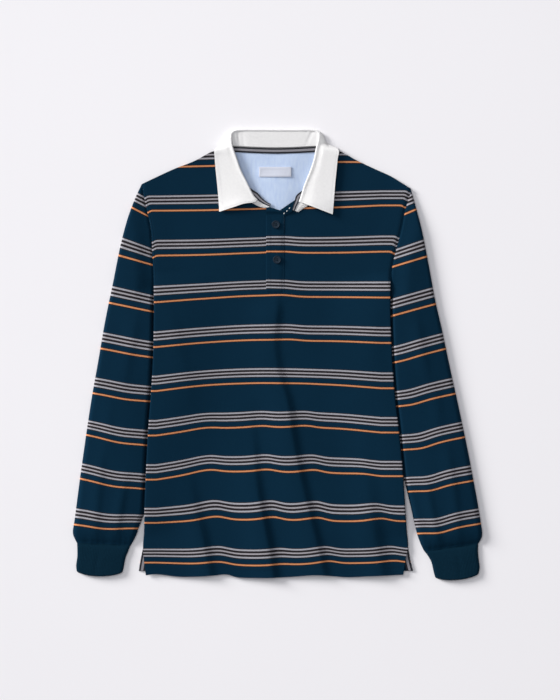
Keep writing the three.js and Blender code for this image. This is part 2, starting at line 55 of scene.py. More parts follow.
def node(tree, kind, inputs=(), **settings):
    """Adds a shader node; inputs are pairs of a socket's name or number and a value or an output."""
    made = tree.nodes.new(kind)
    for key, value in settings.items():
        setattr(made, key, value)
    for socket, value in inputs:
        if isinstance(value, bpy.types.NodeSocket):
            tree.links.new(value, made.inputs[socket])
        else:
            made.inputs[socket].default_value = value
    return made


def math(tree, operation, a, b=0.0, c=0.0):
    """One sum on two or three numbers or outputs."""
    return node(tree, "ShaderNodeMath", [(0, a), (1, b), (2, c)], operation=operation).outputs[0]


def new_material(name, roughness, **sockets):
    """A material with one Principled shader; the named sockets get their plain values."""
    made = bpy.data.materials.new(name)
    made.use_nodes = True
    shader = made.node_tree.nodes["Principled BSDF"]
    shader.inputs["Roughness"].default_value = roughness
    for socket, value in sockets.items():
        shader.inputs[socket.replace("_", " ")].default_value = value
    return made, made.node_tree, shader


def make_table():
    """One wide square at height 0, with a faint mottle in its paint."""
    half = 6.0
    corners = [(-half, -half, 0), (half, -half, 0), (half, half, 0), (-half, half, 0)]
    mesh = bpy.data.meshes.new("table_top")
    mesh.from_pydata(corners, [], [(0, 1, 2, 3)])
    table = bpy.data.objects.new("table_top", mesh)
    bpy.context.collection.objects.link(table)
    paint, tree, shader = new_material("pale_table", 0.6, Specular_IOR_Level=0.2)
    place = node(tree, "ShaderNodeTexCoord")
    mottle = node(tree, "ShaderNodeTexNoise", [("Vector", place.outputs["Object"]), ("Scale", 3.0)])
    colour = node(tree, "ShaderNodeMix", [(0, mottle.outputs[0])], data_type="RGBA")
    colour.inputs[6].default_value = TABLE_COLOUR
    colour.inputs[7].default_value = tuple(0.985 * c for c in TABLE_COLOUR[:3]) + (1,)
    tree.links.new(colour.outputs[2], shader.inputs["Base Color"])
    mesh.materials.append(paint)


def make_light(name, kind, place, energy, colour, **shape):
    """A soft light that looks at the middle of the shirt; shape is its size or its angle."""
    data = bpy.data.lights.new(name, kind)
    data.energy = energy
    data.color = colour
    for key, value in shape.items():
        setattr(data, key, value)
    light = bpy.data.objects.new(name, data)
    bpy.context.collection.objects.link(light)
    light.location = place
    light.rotation_euler = (-light.location).to_track_quat("-Z", "Y").to_euler()


make_table()
make_light("window", "SUN", (-2.72, 1.5, 1.08), 4.5, (1.0, 0.985, 0.97), angle=0.38)
make_light("overhead", "AREA", (-0.7, 0.6, 3.1), 36, (0.97, 0.98, 1.0), size=2.4)

world = bpy.data.worlds.new("room")
world.use_nodes = True
world.node_tree.nodes["Background"].inputs["Color"].default_value = (0.95, 0.95, 1.0, 1)
world.node_tree.nodes["Background"].inputs["Strength"].default_value = 0.27
bpy.context.scene.world = world
bpy.context.scene.view_settings.view_transform = "Standard"

camera_data = bpy.data.cameras.new("camera")
camera_data.sensor_width = SENSOR
camera_data.lens = SENSOR * CAMERA_HEIGHT / VIEW_HEIGHT
camera = bpy.data.objects.new("camera", camera_data)
camera.location = (*VIEW_CENTRE, CAMERA_HEIGHT)
bpy.context.collection.objects.link(camera)
bpy.context.scene.camera = camera

# ---- Striped jersey -----------------------------------------------------------------------
# The body, sleeves and placket are cut from one cotton jersey, knitted with a repeat of three
# grey lines and one orange line on navy. Each piece carries a "cloth" UV map in metres: across
# the knit, and along it from one orange line to the next.

REPEAT = 75.0  # mm from one orange line to the next
NAVY = (0.0026, 0.0198, 0.0415)
STRIPES = [
    # from (mm above the orange line's middle), to, colour
    (-2.4, 2.4, (0.020, 0.012, 0.010)),
    (-1.4, 1.3, (0.56, 0.228, 0.105)),
    (9.9, 27.2, (0.020, 0.018, 0.020)),
    (11.35, 13.85, (0.33, 0.327, 0.362)),
    (17.35, 19.85, (0.33, 0.316, 0.342)),
    (23.35, 25.85, (0.33, 0.327, 0.362)),
]
STRIPE_START = -10.0  # mm; where the ramp begins, clear of every line
WALE = 0.00115  # m between two columns of stitches
COURSE = 0.0009  # m between two rows of stitches


def knit_height(tree, across, along, wale, course):
    """How far the yarn stands up: each wale is a rounded rib, crossed by V-shaped loops."""
    half_turn = math(tree, "MULTIPLY", across, np.pi / wale)
    rib = math(tree, "ABSOLUTE", math(tree, "SINE", half_turn))
    lean = math(tree, "MULTIPLY", math(tree, "ABSOLUTE", math(tree, "COSINE", half_turn)), 2.0)
    loop = math(tree, "SINE", math(tree, "MULTIPLY_ADD", along, 2 * np.pi / course, lean))
    return math(tree, "MULTIPLY_ADD", loop, 0.35, rib)


def cloth_place(tree):
    """The piece's own map in metres: the whole vector, its part across the cloth and along it."""
    place = node(tree, "ShaderNodeUVMap", uv_map="cloth").outputs[0]
    split = node(tree, "ShaderNodeSeparateXYZ", [(0, place)])
    return place, split.outputs[0], split.outputs[1]


def set_relief(tree, shader, height, distance, strength):
    """Lets the surface stand up with height, by distance metres where height is 1."""
    bump = node(tree, "ShaderNodeBump", [("Height", height), ("Distance", distance), ("Strength", strength)])
    tree.links.new(bump.outputs[0], shader.inputs["Normal"])


def jersey_material():
    """Navy jersey: its stripe colours by place along the cloth, a heathered yarn and a fine knit."""
    cloth, tree, shader = new_material("striped_jersey", 0.85, Sheen_Weight=0.008, Sheen_Roughness=0.4,
                                       Specular_IOR_Level=0.03)
    place, across, along = cloth_place(tree)
    ragged = node(tree, "ShaderNodeTexNoise", [("Vector", place), ("Scale", 700.0), ("Detail", 1.0)])
    shift = math(tree, "MULTIPLY_ADD", ragged.outputs[0], 0.0006, -0.0003)
    steady = math(tree, "ADD", along, shift)
    turn = math(tree, "MULTIPLY_ADD", steady, 1000 / REPEAT, -STRIPE_START / REPEAT)
    ramp = node(tree, "ShaderNodeValToRGB", [(0, math(tree, "FRACT", turn))])
    ramp.color_ramp.interpolation = "CONSTANT"
    points = ramp.color_ramp.elements
    points[0].color = (*NAVY, 1)
    points.remove(points[1])
    levels = {STRIPE_START: NAVY}
    for low, high, colour in STRIPES:
        under = levels[max(level for level in levels if level <= high)]
        levels[low] = colour
        levels[high] = under
    for level in sorted(levels)[1:]:
        points.new((level - STRIPE_START) / REPEAT).color = (*levels[level], 1)
    heather = node(tree, "ShaderNodeTexNoise", [("Vector", place), ("Scale", 420.0), ("Detail", 3.0)])
    drift = node(tree, "ShaderNodeTexNoise", [("Vector", place), ("Scale", 9.0), ("Detail", 2.0)])
    tone = math(tree, "ADD", math(tree, "MULTIPLY", heather.outputs[0], 0.34),
                math(tree, "MULTIPLY_ADD", drift.outputs[0], 0.22, 0.72))
    colour = node(tree, "ShaderNodeMix", [(0, 1.0), (6, ramp.outputs[0])], data_type="RGBA",
                  blend_type="MULTIPLY")
    grey = node(tree, "ShaderNodeCombineColor", [(0, tone), (1, tone), (2, tone)])
    tree.links.new(grey.outputs[0], colour.inputs[7])
    tree.links.new(colour.outputs[2], shader.inputs["Base Color"])
    set_relief(tree, shader, knit_height(tree, across, along, WALE, COURSE), 0.00016, 0.55)
    return cloth


striped_jersey = jersey_material()

# ---- Back panel ---------------------------------------------------------------------------
# The back is one piece of the jersey, lying face down on the table. It is lifted over the hidden
# inner parts of the sleeves, and at the neck, where the collar is folded down behind it.

JERSEY = 1.6  # mm, the wall of the jersey as it lies
SEAM_GAP = 0.3  # mm between cloth and cloth
SLEEVE_HEIGHT = 6.5  # a flattened sleeve, both layers
HIDDEN_SLEEVE = 4.8  # its part under the body, pressed thinner
SLEEVE_RISE = HIDDEN_SLEEVE + 0.8
ARMHOLE_FOOT = 106.0
VENT_TOP = -328.0
BACK_HEM = -367.0
BODY_WIDTH = 440.0
BACK_FLARE_LEFT = 11.0  # how far the back shows past the front at the foot of a vent
BACK_FLARE_RIGHT = 15.6
BACK_STRIPES_UP = 23.0  # mm that its orange lines lie above y 0, y 75 and so on
NECK_MIDDLE = -3.0
CREASE_ANGLE = 55  # degrees past which an edge stays sharp

BODY_SIDES = np.array([
    # y, left, right
    (-376, -223.6, 213.7),
    (-350, -226.8, 217.2),
    (-328, -228.4, 221.7),
    (-300, -226.6, 219.6),
    (-258, -225.6, 216.8),
    (-195, -223.0, 212.6),
    (-132, -219.7, 206.6),
    (-68, -214.9, 199.4),
    (-15, -211.7, 195.5),
    (50, -210.0, 192.5),
    (106, -209.8, 191.9),
    (138, -210.8, 192.4),
    (165, -212.5, 197.0),
    (214, -215.4, 209.6),
    (250, -222.9, 216.6),
    (282.4, -229.4, 225.9),
    (290.2, -230.4, 226.5),
])
SHOULDERS = np.array([
    # x, y of the shoulder line, and of the neck's back edge between x -84 and 78
    (-230.4, 290.2),
    (-205.9, 302.0),
    (-175.5, 316.0),
    (-141.4, 329.3),
    (-107.3, 346.8),
    (-84, 352.6),
    (-40, 350.7),
    (-3, 350.0),
    (34, 350.7),
    (78, 352.6),
    (102.9, 346.8),
    (136.2, 329.3),
    (164.5, 316.0),
    (194.7, 302.0),
    (213.4, 290.2),
    (225.9, 282.4),
])
# The hidden inner edge of each sleeve, under the body.
LEFT_INNER = np.array([(-308, -241), (-290, -234.5), (-266, -226.5), (-212, -219.5), (-165, -214),
                       (-120, -208.5), (-75, -203), (-35, -198.5), (0, -195.5), (26, -193), (62, -190)])
RIGHT_INNER = np.array([(-319, 242.5), (-298, 235.5), (-252, 225), (-200, 212.5), (-160, 204),
                        (-122, 197), (-82, 190), (-45, 184.5), (-12, 180), (16, 176), (55, 172)])


def smooth(t):
    """0 below 0 and 1 above 1, with an S-shaped rise between: 3 t squared less 2 t cubed."""
    t = np.clip(t, 0, 1)
    return t * t * (3 - 2 * t)


def mix(a, b, t):
    """From a to b as t goes from 0 to 1."""
    return a + (b - a) * t


def curve(at, knots, values):
    """A smooth line through given knots: on each span a cubic whose slopes at its two ends are
    the values' own slopes there. The values may be numbers or rows of numbers, and past the first
    or last knot they stay."""
    at = np.asarray(at, float)
    knots = np.asarray(knots, float)
    values = np.asarray(values, float)
    slopes = np.gradient(values, knots, axis=0)
    k = np.clip(np.searchsorted(knots, at) - 1, 0, len(knots) - 2)
    span = knots[k + 1] - knots[k]
    t = np.clip((at - knots[k]) / span, 0, 1)
    wide = t.shape + (1,) * (values.ndim - 1)
    t, span = t.reshape(wide), span.reshape(wide)
    start = (1 + 2 * t) * (1 - t) ** 2 * values[k] + t * (1 - t) ** 2 * span * slopes[k]
    end = t * t * (3 - 2 * t) * values[k + 1] - t * t * (1 - t) * span * slopes[k + 1]
    return start + end


def left_edge(y):
    """x of the body's left side, smooth through BODY_SIDES."""
    return curve(y, BODY_SIDES[:, 0], BODY_SIDES[:, 1])


def right_edge(y):
    """x of the body's right side, smooth through BODY_SIDES."""
    return curve(y, BODY_SIDES[:, 0], BODY_SIDES[:, 2])


def body_rise(x, y, reach=32.0):
    """Height of the table side of the back: a rise over each sleeve, as wide as reach, that fades
    above the armhole's foot and where the cuffs begin, and a slope up to the neck."""
    def hidden_edge(inner, side):
        under = np.interp(y, inner[:, 0], inner[:, 1])
        t = np.clip((y - inner[-1, 0]) / (ARMHOLE_FOOT - inner[-1, 0]), 0, 1)
        return np.where(y > inner[-1, 0], mix(inner[-1, 1], side, t), under)

    left = hidden_edge(LEFT_INNER, left_edge(ARMHOLE_FOOT))
    right = hidden_edge(RIGHT_INNER, right_edge(ARMHOLE_FOOT))
    inside = np.minimum(x - left, right - x)
    over_sleeve = smooth(1 - (inside - 4) / reach)
    below_armhole = smooth((ARMHOLE_FOOT + 38 - y) / 38)
    above_cuffs = smooth((y + 315) / 45)
    at_neck = smooth((y - 312) / 38)
    return SLEEVE_RISE * over_sleeve * below_armhole * above_cuffs + 2.2 * at_neck


def unit(vectors):
    """The same directions with length 1."""
    return vectors / np.maximum(np.linalg.norm(vectors, axis=-1, keepdims=True), 1e-9)


def grid_normals(grid, flip, ring=False):
    """Unit normals of a grid of points: the cross product of its two directions."""
    if ring:
        across = np.roll(grid, -1, axis=1) - np.roll(grid, 1, axis=1)
    else:
        across = np.gradient(grid, axis=1)
    return unit(np.cross(across, np.gradient(grid, axis=0)) * flip)


def quads_of(ids):
    """The four corners of each cell in a grid of ids, in order round the cell."""
    return np.stack([ids[..., :-1, :-1], ids[..., :-1, 1:], ids[..., 1:, 1:], ids[..., 1:, :-1]], -1)


def smooth_mesh(name, points, faces):
    """A smooth-shaded mesh from points in mm."""
    mesh = bpy.data.meshes.new(name)
    mesh.from_pydata(points.reshape(-1, 3) * 0.001, [], faces)
    mesh.shade_smooth()
    return mesh


def wall_piece(name, outer, inner, cloth, material, keep=None, ring=False, flip=1):
    """A closed wall between two grids of points in mm. cloth holds each outer point's place on the
    cloth in mm, with one more column on a ring; keep marks the grid's quads that are cloth."""
    rows, columns = outer.shape[:2]
    count = rows * columns
    ids = np.arange(count).reshape(rows, columns)
    if ring:
        ids = np.hstack([ids, ids[:, :1]])
    places = np.arange(cloth.shape[0] * cloth.shape[1]).reshape(cloth.shape[:2])

    def corners(grid):
        quads = quads_of(grid)
        return (quads if keep is None else quads[keep]).reshape(-1, 4)

    quads, quad_places = corners(ids), corners(places)
    start, end = quads.ravel(), np.roll(quads, -1, axis=1).ravel()
    start_place, end_place = quad_places.ravel(), np.roll(quad_places, -1, axis=1).ravel()
    rim = ~np.isin(start * count + end, end * count + start)
    sides = np.stack([end[rim], start[rim], start[rim] + count, end[rim] + count], -1)
    side_places = np.stack([end_place[rim], start_place[rim], start_place[rim], end_place[rim]], -1)
    faces = np.vstack([quads, quads[:, ::-1] + count, sides])
    face_places = np.vstack([quad_places, quad_places[:, ::-1], side_places])
    if flip < 0:
        faces, face_places = faces[:, ::-1], face_places[:, ::-1]
    used, faces = np.unique(faces, return_inverse=True)
    points = np.vstack([outer.reshape(-1, 3), inner.reshape(-1, 3)])[used]
    mesh = smooth_mesh(name, points, faces.reshape(-1, 4))
    layer = mesh.uv_layers.new(name="cloth")
    layer.uv.foreach_set("vector", (cloth.reshape(-1, 2) * 0.001)[face_places.ravel()].ravel())
    mesh.set_sharp_from_angle(angle=np.radians(CREASE_ANGLE))
    return add_piece(name, mesh, material)


def add_piece(name, mesh, material):
    """Puts a finished mesh in the scene as a piece of the shirt's one body."""
    mesh.materials.append(material)
    piece = bpy.data.objects.new(name, mesh)
    bpy.context.collection.objects.link(piece)
    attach(piece, "root")
    return piece


ROLLED_HEIGHT = 5.6  # mm, both layers where the side is rolled


def edge_height(y):
    """Both layers' height at the side: less where the side is rolled than at the armhole."""
    return mix(ROLLED_HEIGHT, SLEEVE_HEIGHT, smooth((y - ARMHOLE_FOOT + 20) / 40))


def edge_closed(y):
    """1 where the side is rolled or sewn shut, 0 where it opens into the sleeve or the vent."""
    below_armhole = smooth((ARMHOLE_FOOT + 22 - y) / 26)
    above_vent = smooth((y - VENT_TOP) / 10)
    return below_armhole * above_vent


SIDE_ROLL = 1.9  # mm in from the side that the roll reaches
ROLL_INSETS = SIDE_ROLL * (1 - np.cos(np.linspace(0, np.pi / 2, 6)))


def side_roll(x, y, flat, left, right, side):
    """Bends the flat height near a side edge down (or up, side -1) to the middle of the two
    layers, along a quarter circle that is SIDE_ROLL wide."""
    inset = np.clip(np.minimum(x - left, right - x), 0, SIDE_ROLL) / SIDE_ROLL
    round_over = np.sqrt(1 - (1 - inset) ** 2)
    middle = body_rise(x, y) + edge_height(y) / 2 + side * SEAM_GAP / 2
    return mix(flat, mix(middle, flat, round_over), edge_closed(y))


def below_vent(y):
    """0 at the top of the side slits and 1 at the back's hem."""
    return np.clip((VENT_TOP - y) / (VENT_TOP - BACK_HEM), 0, 1)


def make_back():
    """A grid from side to side and from the hem to the shoulder line, lying at body_rise."""
    roll = ROLL_INSETS / BODY_WIDTH
    s, v = np.meshgrid(np.concatenate([roll, np.linspace(0.012, 0.988, 110), 1 - roll[::-1]]),
                       np.linspace(0, 1, 190))
    top = curve(mix(SHOULDERS[0, 0], SHOULDERS[-1, 0], s), SHOULDERS[:, 0], SHOULDERS[:, 1])
    y = mix(BACK_HEM, top, v)
    left = left_edge(y) - BACK_FLARE_LEFT * below_vent(y)
    right = right_edge(y) + BACK_FLARE_RIGHT * below_vent(y)
    x = mix(left, right, s)
    z = side_roll(x, y, body_rise(x, y), left, right, -1)
    outer = np.stack([x, y, z], -1)
    inner = outer - JERSEY * grid_normals(outer, -1)
    cloth = np.stack([x, y - BACK_STRIPES_UP], -1)
    back = wall_piece("back_panel", outer, inner, cloth, striped_jersey, flip=-1)
    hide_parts("back_body")


make_back()

# ---- Front panel --------------------------------------------------------------------------
# The front is cut from the same jersey, slit down the middle for the placket. It lies on the
# back, rolls over at the sides, and has soft folds that run down its lower half.

FRONT_HEM = np.array([
    # x, y of the hem's foot
    (-226, -374.6), (-209, -372.3), (-195, -373.2), (-174, -376.0), (-132, -376.0), (-104, -374.0),
    (-84, -372.8), (-72, -376.6), (-40, -378.4), (16, -377.2), (73, -373.8), (96, -375.6),
    (118, -377.2), (160, -375.6), (216, -373.2),
])
NECK_SEAM = np.array([
    # x, y of the seam between the front and the collar
    (-94, 348.5), (-89, 348.0), (-87, 337.0), (-80, 318.0), (-70, 296.0), (-57, 270.0), (-47, 259.0),
    (-29, 252.5), (-18.8, 250.0), (-18.5, 242.0), (11.3, 238.5), (19, 243.0), (27, 247.5), (34, 248.0),
    (41, 252.0), (51, 258.0), (54, 266.0),
    (58.5, 284.0), (66, 302.0), (73, 319.0), (79.5, 336.0), (81, 348.0), (86, 348.5),
])
FRONT_ROWS = (-376.0, 290.0)  # y of its lowest and highest row, where it meets the sides
PLACKET_LEFT = -18.5
PLACKET_RIGHT = 11.0
PLACKET_FOOT = 109.0
PLACKET_TOP = 238.0  # y up to which its bands lie straight
PANEL_TOP = 5.3  # mm from the back's table side to the front's face, where it lies flat
HEM_DRAWN_IN = 0.97  # share of x at which the hem is read, as it is drawn in a little

# Where each orange line crosses the front, from above the shoulder to below the hem.
STRIPE_AT = [-206, -130, -26, 38, 100, 176]  # x
STRIPE_ROWS = np.array([
    # y of the line at each of those x
    (392.0, 397.0, 400.0, 402.0, 404.0, 402.0),
    (318.5, 320.5, 323.0, 326.0, 327.6, 327.0),
    (245.0, 245.7, 248.2, 249.2, 250.6, 254.0),
    (168.7, 169.9, 173.5, 173.4, 173.6, 175.4),
    (89.4, 95.2, 100.7, 98.8, 98.3, 97.4),
    (13.4, 20.5, 25.5, 24.0, 23.4, 20.4),
    (-61.2, -52.2, -47.9, -48.6, -51.0, -56.5),
    (-136.6, -126.8, -122.8, -123.0, -124.8, -131.6),
    (-211.5, -200.6, -198.0, -199.4, -200.8, -205.6),
    (-285.0, -281.3, -279.8, -281.0, -282.4, -282.2),
    (-352.6, -355.0, -357.4, -355.4, -354.0, -352.4),
    (-427.0, -429.0, -431.0, -429.0, -428.0, -426.0),
])
# Where the folds draw the stripes up: crest lines with the rise at each of their points.
STRIPE_WAVES = [
    # (x, y, rise) down the crest, its reach to the left and to the right of the crest
    ([(11, 260, 2.0), (11, 103, 2.0), (16, 60, 1.6), (24, 15, 1.8), (34, -30, 0)], 26, 22),
    ([(-124, -60, 0), (-119, -124, 2.4), (-116, -196, 4.4), (-104, -275, 6.0), (-99, -350, 4.6),
      (-96, -400, 4)], 32, 22),
    ([(-30, -40, 0), (-26, -121, 2.4), (-17, -194, 3.6), (-7, -275, 4.6), (6, -350, 1.6),
      (8, -400, 1)], 26, 18),
    ([(42, -40, 0), (48, -120, 3.0), (62, -195, 4.6), (68, -276, 5.2), (87, -350, 4.2),
      (95, -400, 4)], 28, 18),
    ([(130, -130, 0), (146, -200, 1.8), (176, -277, 4.6), (199, -350, 3.0), (208, -400, 2)], 28, 17),
]

# The front's folds run down and a little to the right. Each rises slowly from the left to its
# crest and falls away steeply on the right.
FOLDS = [
    # (x, y, height) down its crest, its reach to the left and to the right of the crest
    ([(-4, 104, 0), (-3, 80, 3.4), (-7, 25, 3.4), (0, -30, 4.2), (13, -72, 5.2), (25, -147, 5.6),
      (42, -228, 5.3), (61, -304, 5.6), (79, -378, 4.4)], 40, 9),
    ([(-50, -70, 0), (-43, -147, 2.0), (-36, -228, 5.0), (-21, -304, 6.8), (-8, -378, 6.0)], 36, 9),
    ([(140, -120, 0), (151, -228, 2.6), (161, -304, 6.0), (175, -378, 5.0)], 34, 17),
    ([(-158, -180, 0), (-143, -255, 2.6), (-131, -304, 5.0), (-116, -378, 4.4)], 30, 11),
    ([(-196, 96, 0), (-176, 40, 1.2), (-158, -40, 0.9), (-150, -110, 0)], 24, 14),
    ([(170, 92, 0), (160, 30, 0.9), (156, -60, 0)], 26, 18),
]
DRAPE = 105.0  # mm over which the front comes down from a sleeve to the middle


def ridges(x, y, folds):
    """The height that folds add: across its crest each is a bell with its own reach on either
    side, and down its crest the height runs smoothly from point to point."""
    height = 0
    for crest, reach_left, reach_right in folds:
        path = np.array(crest, float)[::-1]
        at = curve(y, path[:, 1], path[:, [0, 2]])
        across = x - at[..., 0]
        reach = np.where(across < 0, reach_left, reach_right)
        height = height + np.maximum(at[..., 1], 0) * np.exp(-(across / reach) ** 2)
    return height


def front_top(x, y):
    """Height of the front's outer face: the panel's own height over the back, its folds, and a
    slow unevenness that comes from being smoothed out by hand."""
    inside = np.minimum(x - left_edge(y), right_edge(y) - x)
    base = body_rise(x, y, DRAPE) + mix(PANEL_TOP, edge_height(y), smooth(1 - inside / 45))
    uneven = 0.5 * np.sin(x / 41 + y / 57) * np.sin(y / 73 - x / 88 + 1.3)
    seam = 1.3 * np.exp(-(np.clip(inside, 0, None) / 2.2) ** 2) * smooth((y - ARMHOLE_FOOT) / 25)
    along_placket = smooth((y - PLACKET_FOOT) / 6) * smooth((PLACKET_TOP - y) / 6)
    beside_placket = 1.1 * np.exp(-((x - PLACKET_LEFT + 1.7) / 0.9) ** 2) * along_placket
    folds = ridges(x, y, FOLDS) + uneven * smooth(inside / 30) * smooth((230 - y) / 60)
    return base + folds - seam - beside_placket


def place_among(lines, y):
    """How far along the knit the height y lies, in mm: 0 on the first orange line and REPEAT less
    at each line below it. Between two lines it runs evenly."""
    place = np.zeros_like(y)
    for k in range(lines.shape[-1] - 1):
        above, below = lines[..., k], lines[..., k + 1]
        share = (above - y) / (above - below)
        place = np.where((share >= 0) | (k == 0), (k + share) * REPEAT, place)
    return -place


def stripe_place(x, y, waves):
    """The place along the body's knit: the lines rise with the waves, and bend down just beside
    the armholes."""
    beside = np.clip(np.minimum(x - left_edge(y), right_edge(y) - x), 0, None)
    y = y - ridges(x, y, waves) + 3.5 * np.exp(-(beside / 5) ** 2) * smooth((y - 125) / 30)
    return place_among(curve(x, STRIPE_AT, STRIPE_ROWS.T), y)


def hem_foot(x):
    """y of the front's hem, smooth through FRONT_HEM."""
    return curve(HEM_DRAWN_IN * x, FRONT_HEM[:, 0], FRONT_HEM[:, 1])


def make_front():
    """A grid from side to side: its rows run from the hem to the slit's foot and on to the
    shoulders. Its columns keep to the placket's two edges; above the foot it is open between them."""
    left_part = np.linspace(0, 1, 74)
    middle_part = np.linspace(0, 1, 11)[1:]
    right_part = np.linspace(0, 1, 74)[1:]
    inset = ROLL_INSETS[:-1]

    def columns_at(y, left, right):
        """x of every column at the heights y: the roll's columns keep their distance from the side."""
        from_left = mix(left + SIDE_ROLL, PLACKET_LEFT - SEAM_GAP, left_part)
        middle = mix(PLACKET_LEFT - SEAM_GAP, PLACKET_RIGHT + SEAM_GAP, middle_part) + 0 * y
        to_right = mix(PLACKET_RIGHT + SEAM_GAP, right - SIDE_ROLL, right_part)
        return np.hstack([left + inset, from_left, middle, to_right, right - inset[::-1]])

    lower = np.linspace(0, 1, 150)[:, None]
    upper = np.linspace(0, 1, 88)[1:, None]
    top_x = columns_at(np.zeros((1, 1)), SHOULDERS[:1, :1], SHOULDERS[-1:, :1])
    shoulder = curve(top_x, SHOULDERS[:, 0], SHOULDERS[:, 1])
    in_neck = (top_x > NECK_SEAM[0, 0]) & (top_x < NECK_SEAM[-1, 0])
    top = np.where(in_neck, np.interp(top_x, NECK_SEAM[:, 0], NECK_SEAM[:, 1]), shoulder)
    slit = PLACKET_FOOT - SEAM_GAP
    y = np.vstack([mix(hem_foot(top_x), slit, lower), mix(slit, top, upper)])
    row_y = np.vstack([mix(FRONT_ROWS[0], slit, lower), mix(slit, FRONT_ROWS[1], upper)])
    x = columns_at(row_y, left_edge(row_y), right_edge(row_y))
    left, right = left_edge(row_y) + 0 * x, right_edge(row_y) + 0 * x
    z = side_roll(x, y, front_top(x, y), left, right, 1)
    outer = np.stack([x, y, z], -1)
    inner = outer - JERSEY * grid_normals(outer, 1)
    cloth = np.stack([x, stripe_place(x, y, STRIPE_WAVES)], -1)
    first = len(inset) + len(left_part) - 1
    keep = np.ones((x.shape[0] - 1, x.shape[1] - 1), bool)
    keep[len(lower) - 1:, first:first + len(middle_part)] = False
    front = wall_piece("front_panel", outer, inner, cloth, striped_jersey, keep=keep)
    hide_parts("front_body")


make_front()

# ---- Sleeves ------------------------------------------------------------------------------
# Each sleeve is one piece of the jersey sewn into a tube, set into the armhole and pressed flat.
# Its inner part lies hidden under the body; its end is gathered into the cuff.

LEFT_SLEEVE = np.array([
    # outer x, y, inner x, y
    (-230.4, 290.2, -190.0, 62.0),
    (-243.0, 263.0, -191.5, 46.0),
    (-256.0, 227.0, -193.0, 26.0),
    (-268.0, 180.0, -195.5, 0.0),
    (-280.0, 120.0, -198.5, -35.0),
    (-293.0, 57.0, -203.0, -75.0),
    (-304.5, -10.0, -208.5, -120.0),
    (-315.5, -72.0, -214.0, -165.0),
    (-325.5, -138.0, -219.5, -212.0),
    (-336.0, -213.0, -226.5, -266.0),
    (-344.3, -277.0, -234.5, -290.0),
    (-347.6, -302.0, -241.0, -308.0),
    (-341.0, -319.0, -249.0, -323.0),
])
RIGHT_SLEEVE = np.array([
    (225.9, 282.4, 172.0, 55.0),
    (236.0, 247.0, 173.5, 38.0),
    (246.0, 208.0, 176.0, 16.0),
    (257.0, 152.0, 180.0, -12.0),
    (268.0, 93.0, 184.5, -45.0),
    (281.0, 36.0, 190.0, -82.0),
    (293.0, -22.0, 197.0, -122.0),
    (305.0, -76.0, 204.0, -160.0),
    (320.0, -146.0, 212.5, -200.0),
    (335.0, -224.0, 225.0, -252.0),
    (345.0, -282.0, 235.5, -298.0),
    (347.6, -306.0, 242.5, -319.0),
    (341.5, -320.0, 249.0, -333.0),
])
# Each orange line on a sleeve: its height at a fixed x, and how steeply it runs to the right.
LEFT_LINES_AT = -240.6
LEFT_LINES = [(332, -0.45), (246.7, -0.52), (160.8, -0.28), (79.4, -0.203), (1.0, -0.17), (-75.0, -0.14),
              (-149.7, -0.17), (-224.8, -0.16), (-293.9, -0.06), (-369, -0.06)]
RIGHT_LINES_AT = 232.1
RIGHT_LINES = [(330, 0.42), (245.8, 0.42), (160.7, 0.30), (76.7, 0.27), (-3.1, 0.256), (-80.2, 0.208),
               (-156.3, 0.198), (-229.9, 0.165), (-303.6, 0.155), (-379, 0.16)]


def flat_tube(plan, over, width, top, height, wall, flip, edge):
    """The outer and inner face of a flattened tube. plan runs from the outer edge over the top to
    the inner edge and back underneath; each edge is round over the width edge."""
    inset = np.minimum(over, 1 - over) * width
    rounding = np.sqrt(1 - (1 - np.clip(inset / edge, 0, 1)) ** 2)
    above = np.arange(plan.shape[1])[None, :] <= plan.shape[1] // 2
    z = np.where(above, height / 2 + (top - height / 2) * rounding, height / 2 * (1 - rounding))
    outer = np.dstack([plan, z])
    inner = outer - wall * grid_normals(outer, flip, ring=True)
    return outer, inner


def round_trip(count):
    """Shares 0 to 1 across the top of a tube and back to 0 underneath, closer near both edges."""
    half = 0.5 - 0.5 * np.cos(np.linspace(0, np.pi, count + 1))
    return np.concatenate([half[:-1], half[::-1][:-1]])


def way_round(over, width):
    """Distance round a tube from its outer edge, over the top and back underneath."""
    half = over.shape[1] // 2
    return np.concatenate([over[0, :half], 2 - over[0, half:], [2.0]])[None, :] * width


def rows_at(steps, table):
    """A table's rows read smoothly at steps: 0 is its first row, 1 its second, and so on."""
    return curve(steps, np.arange(len(table)), table)


LEFT_SLEEVE_FOLDS = [
    ([(-240, 80, 0), (-246, 30, 1.6), (-256, -20, 1.2), (-262, -80, 0)], 16, 9),
    ([(-296, -150, 0), (-302, -210, 1.6), (-307, -260, 1.8), (-311, -318, 0.8)], 14, 8),
    ([(-256, -190, 0), (-263, -235, 1.6), (-270, -275, 1.8), (-276, -320, 0.8)], 12, 7),
    ([(-284, -60, 0), (-288, -120, 1.0), (-286, -180, 0)], 15, 10),
]
RIGHT_SLEEVE_FOLDS = [
    ([(232, 90, 0), (240, 30, 1.8), (250, -20, 1.4), (256, -70, 0)], 15, 9),
    ([(284, -140, 0), (294, -200, 1.7), (302, -255, 1.8), (308, -322, 0.8)], 13, 8),
    ([(250, -200, 0), (258, -245, 1.6), (266, -285, 1.8), (273, -330, 0.8)], 11, 7),
    ([(262, -30, 0), (270, -90, 1.2), (276, -150, 0)], 14, 10),
]
SLEEVE_FULLER = 6.0  # mm that the middle of a sleeve stands above its seam
GROOVE_FLOOR = 2.6  # mm, a sleeve's height where it dips in beside the body


def sleeve_place(lines, at, bow, x, y, over):
    """The place along a sleeve's knit. Each line is straight but for a bow: it hangs a little
    lower over one part of the sleeve's width, more so further down."""
    middle, reach, most = bow
    y = y + most * smooth((120 - y) / 330) * np.exp(-((over - middle) / reach) ** 2)
    return place_among(np.stack([height + slope * (x - at) for height, slope in lines], -1), y)


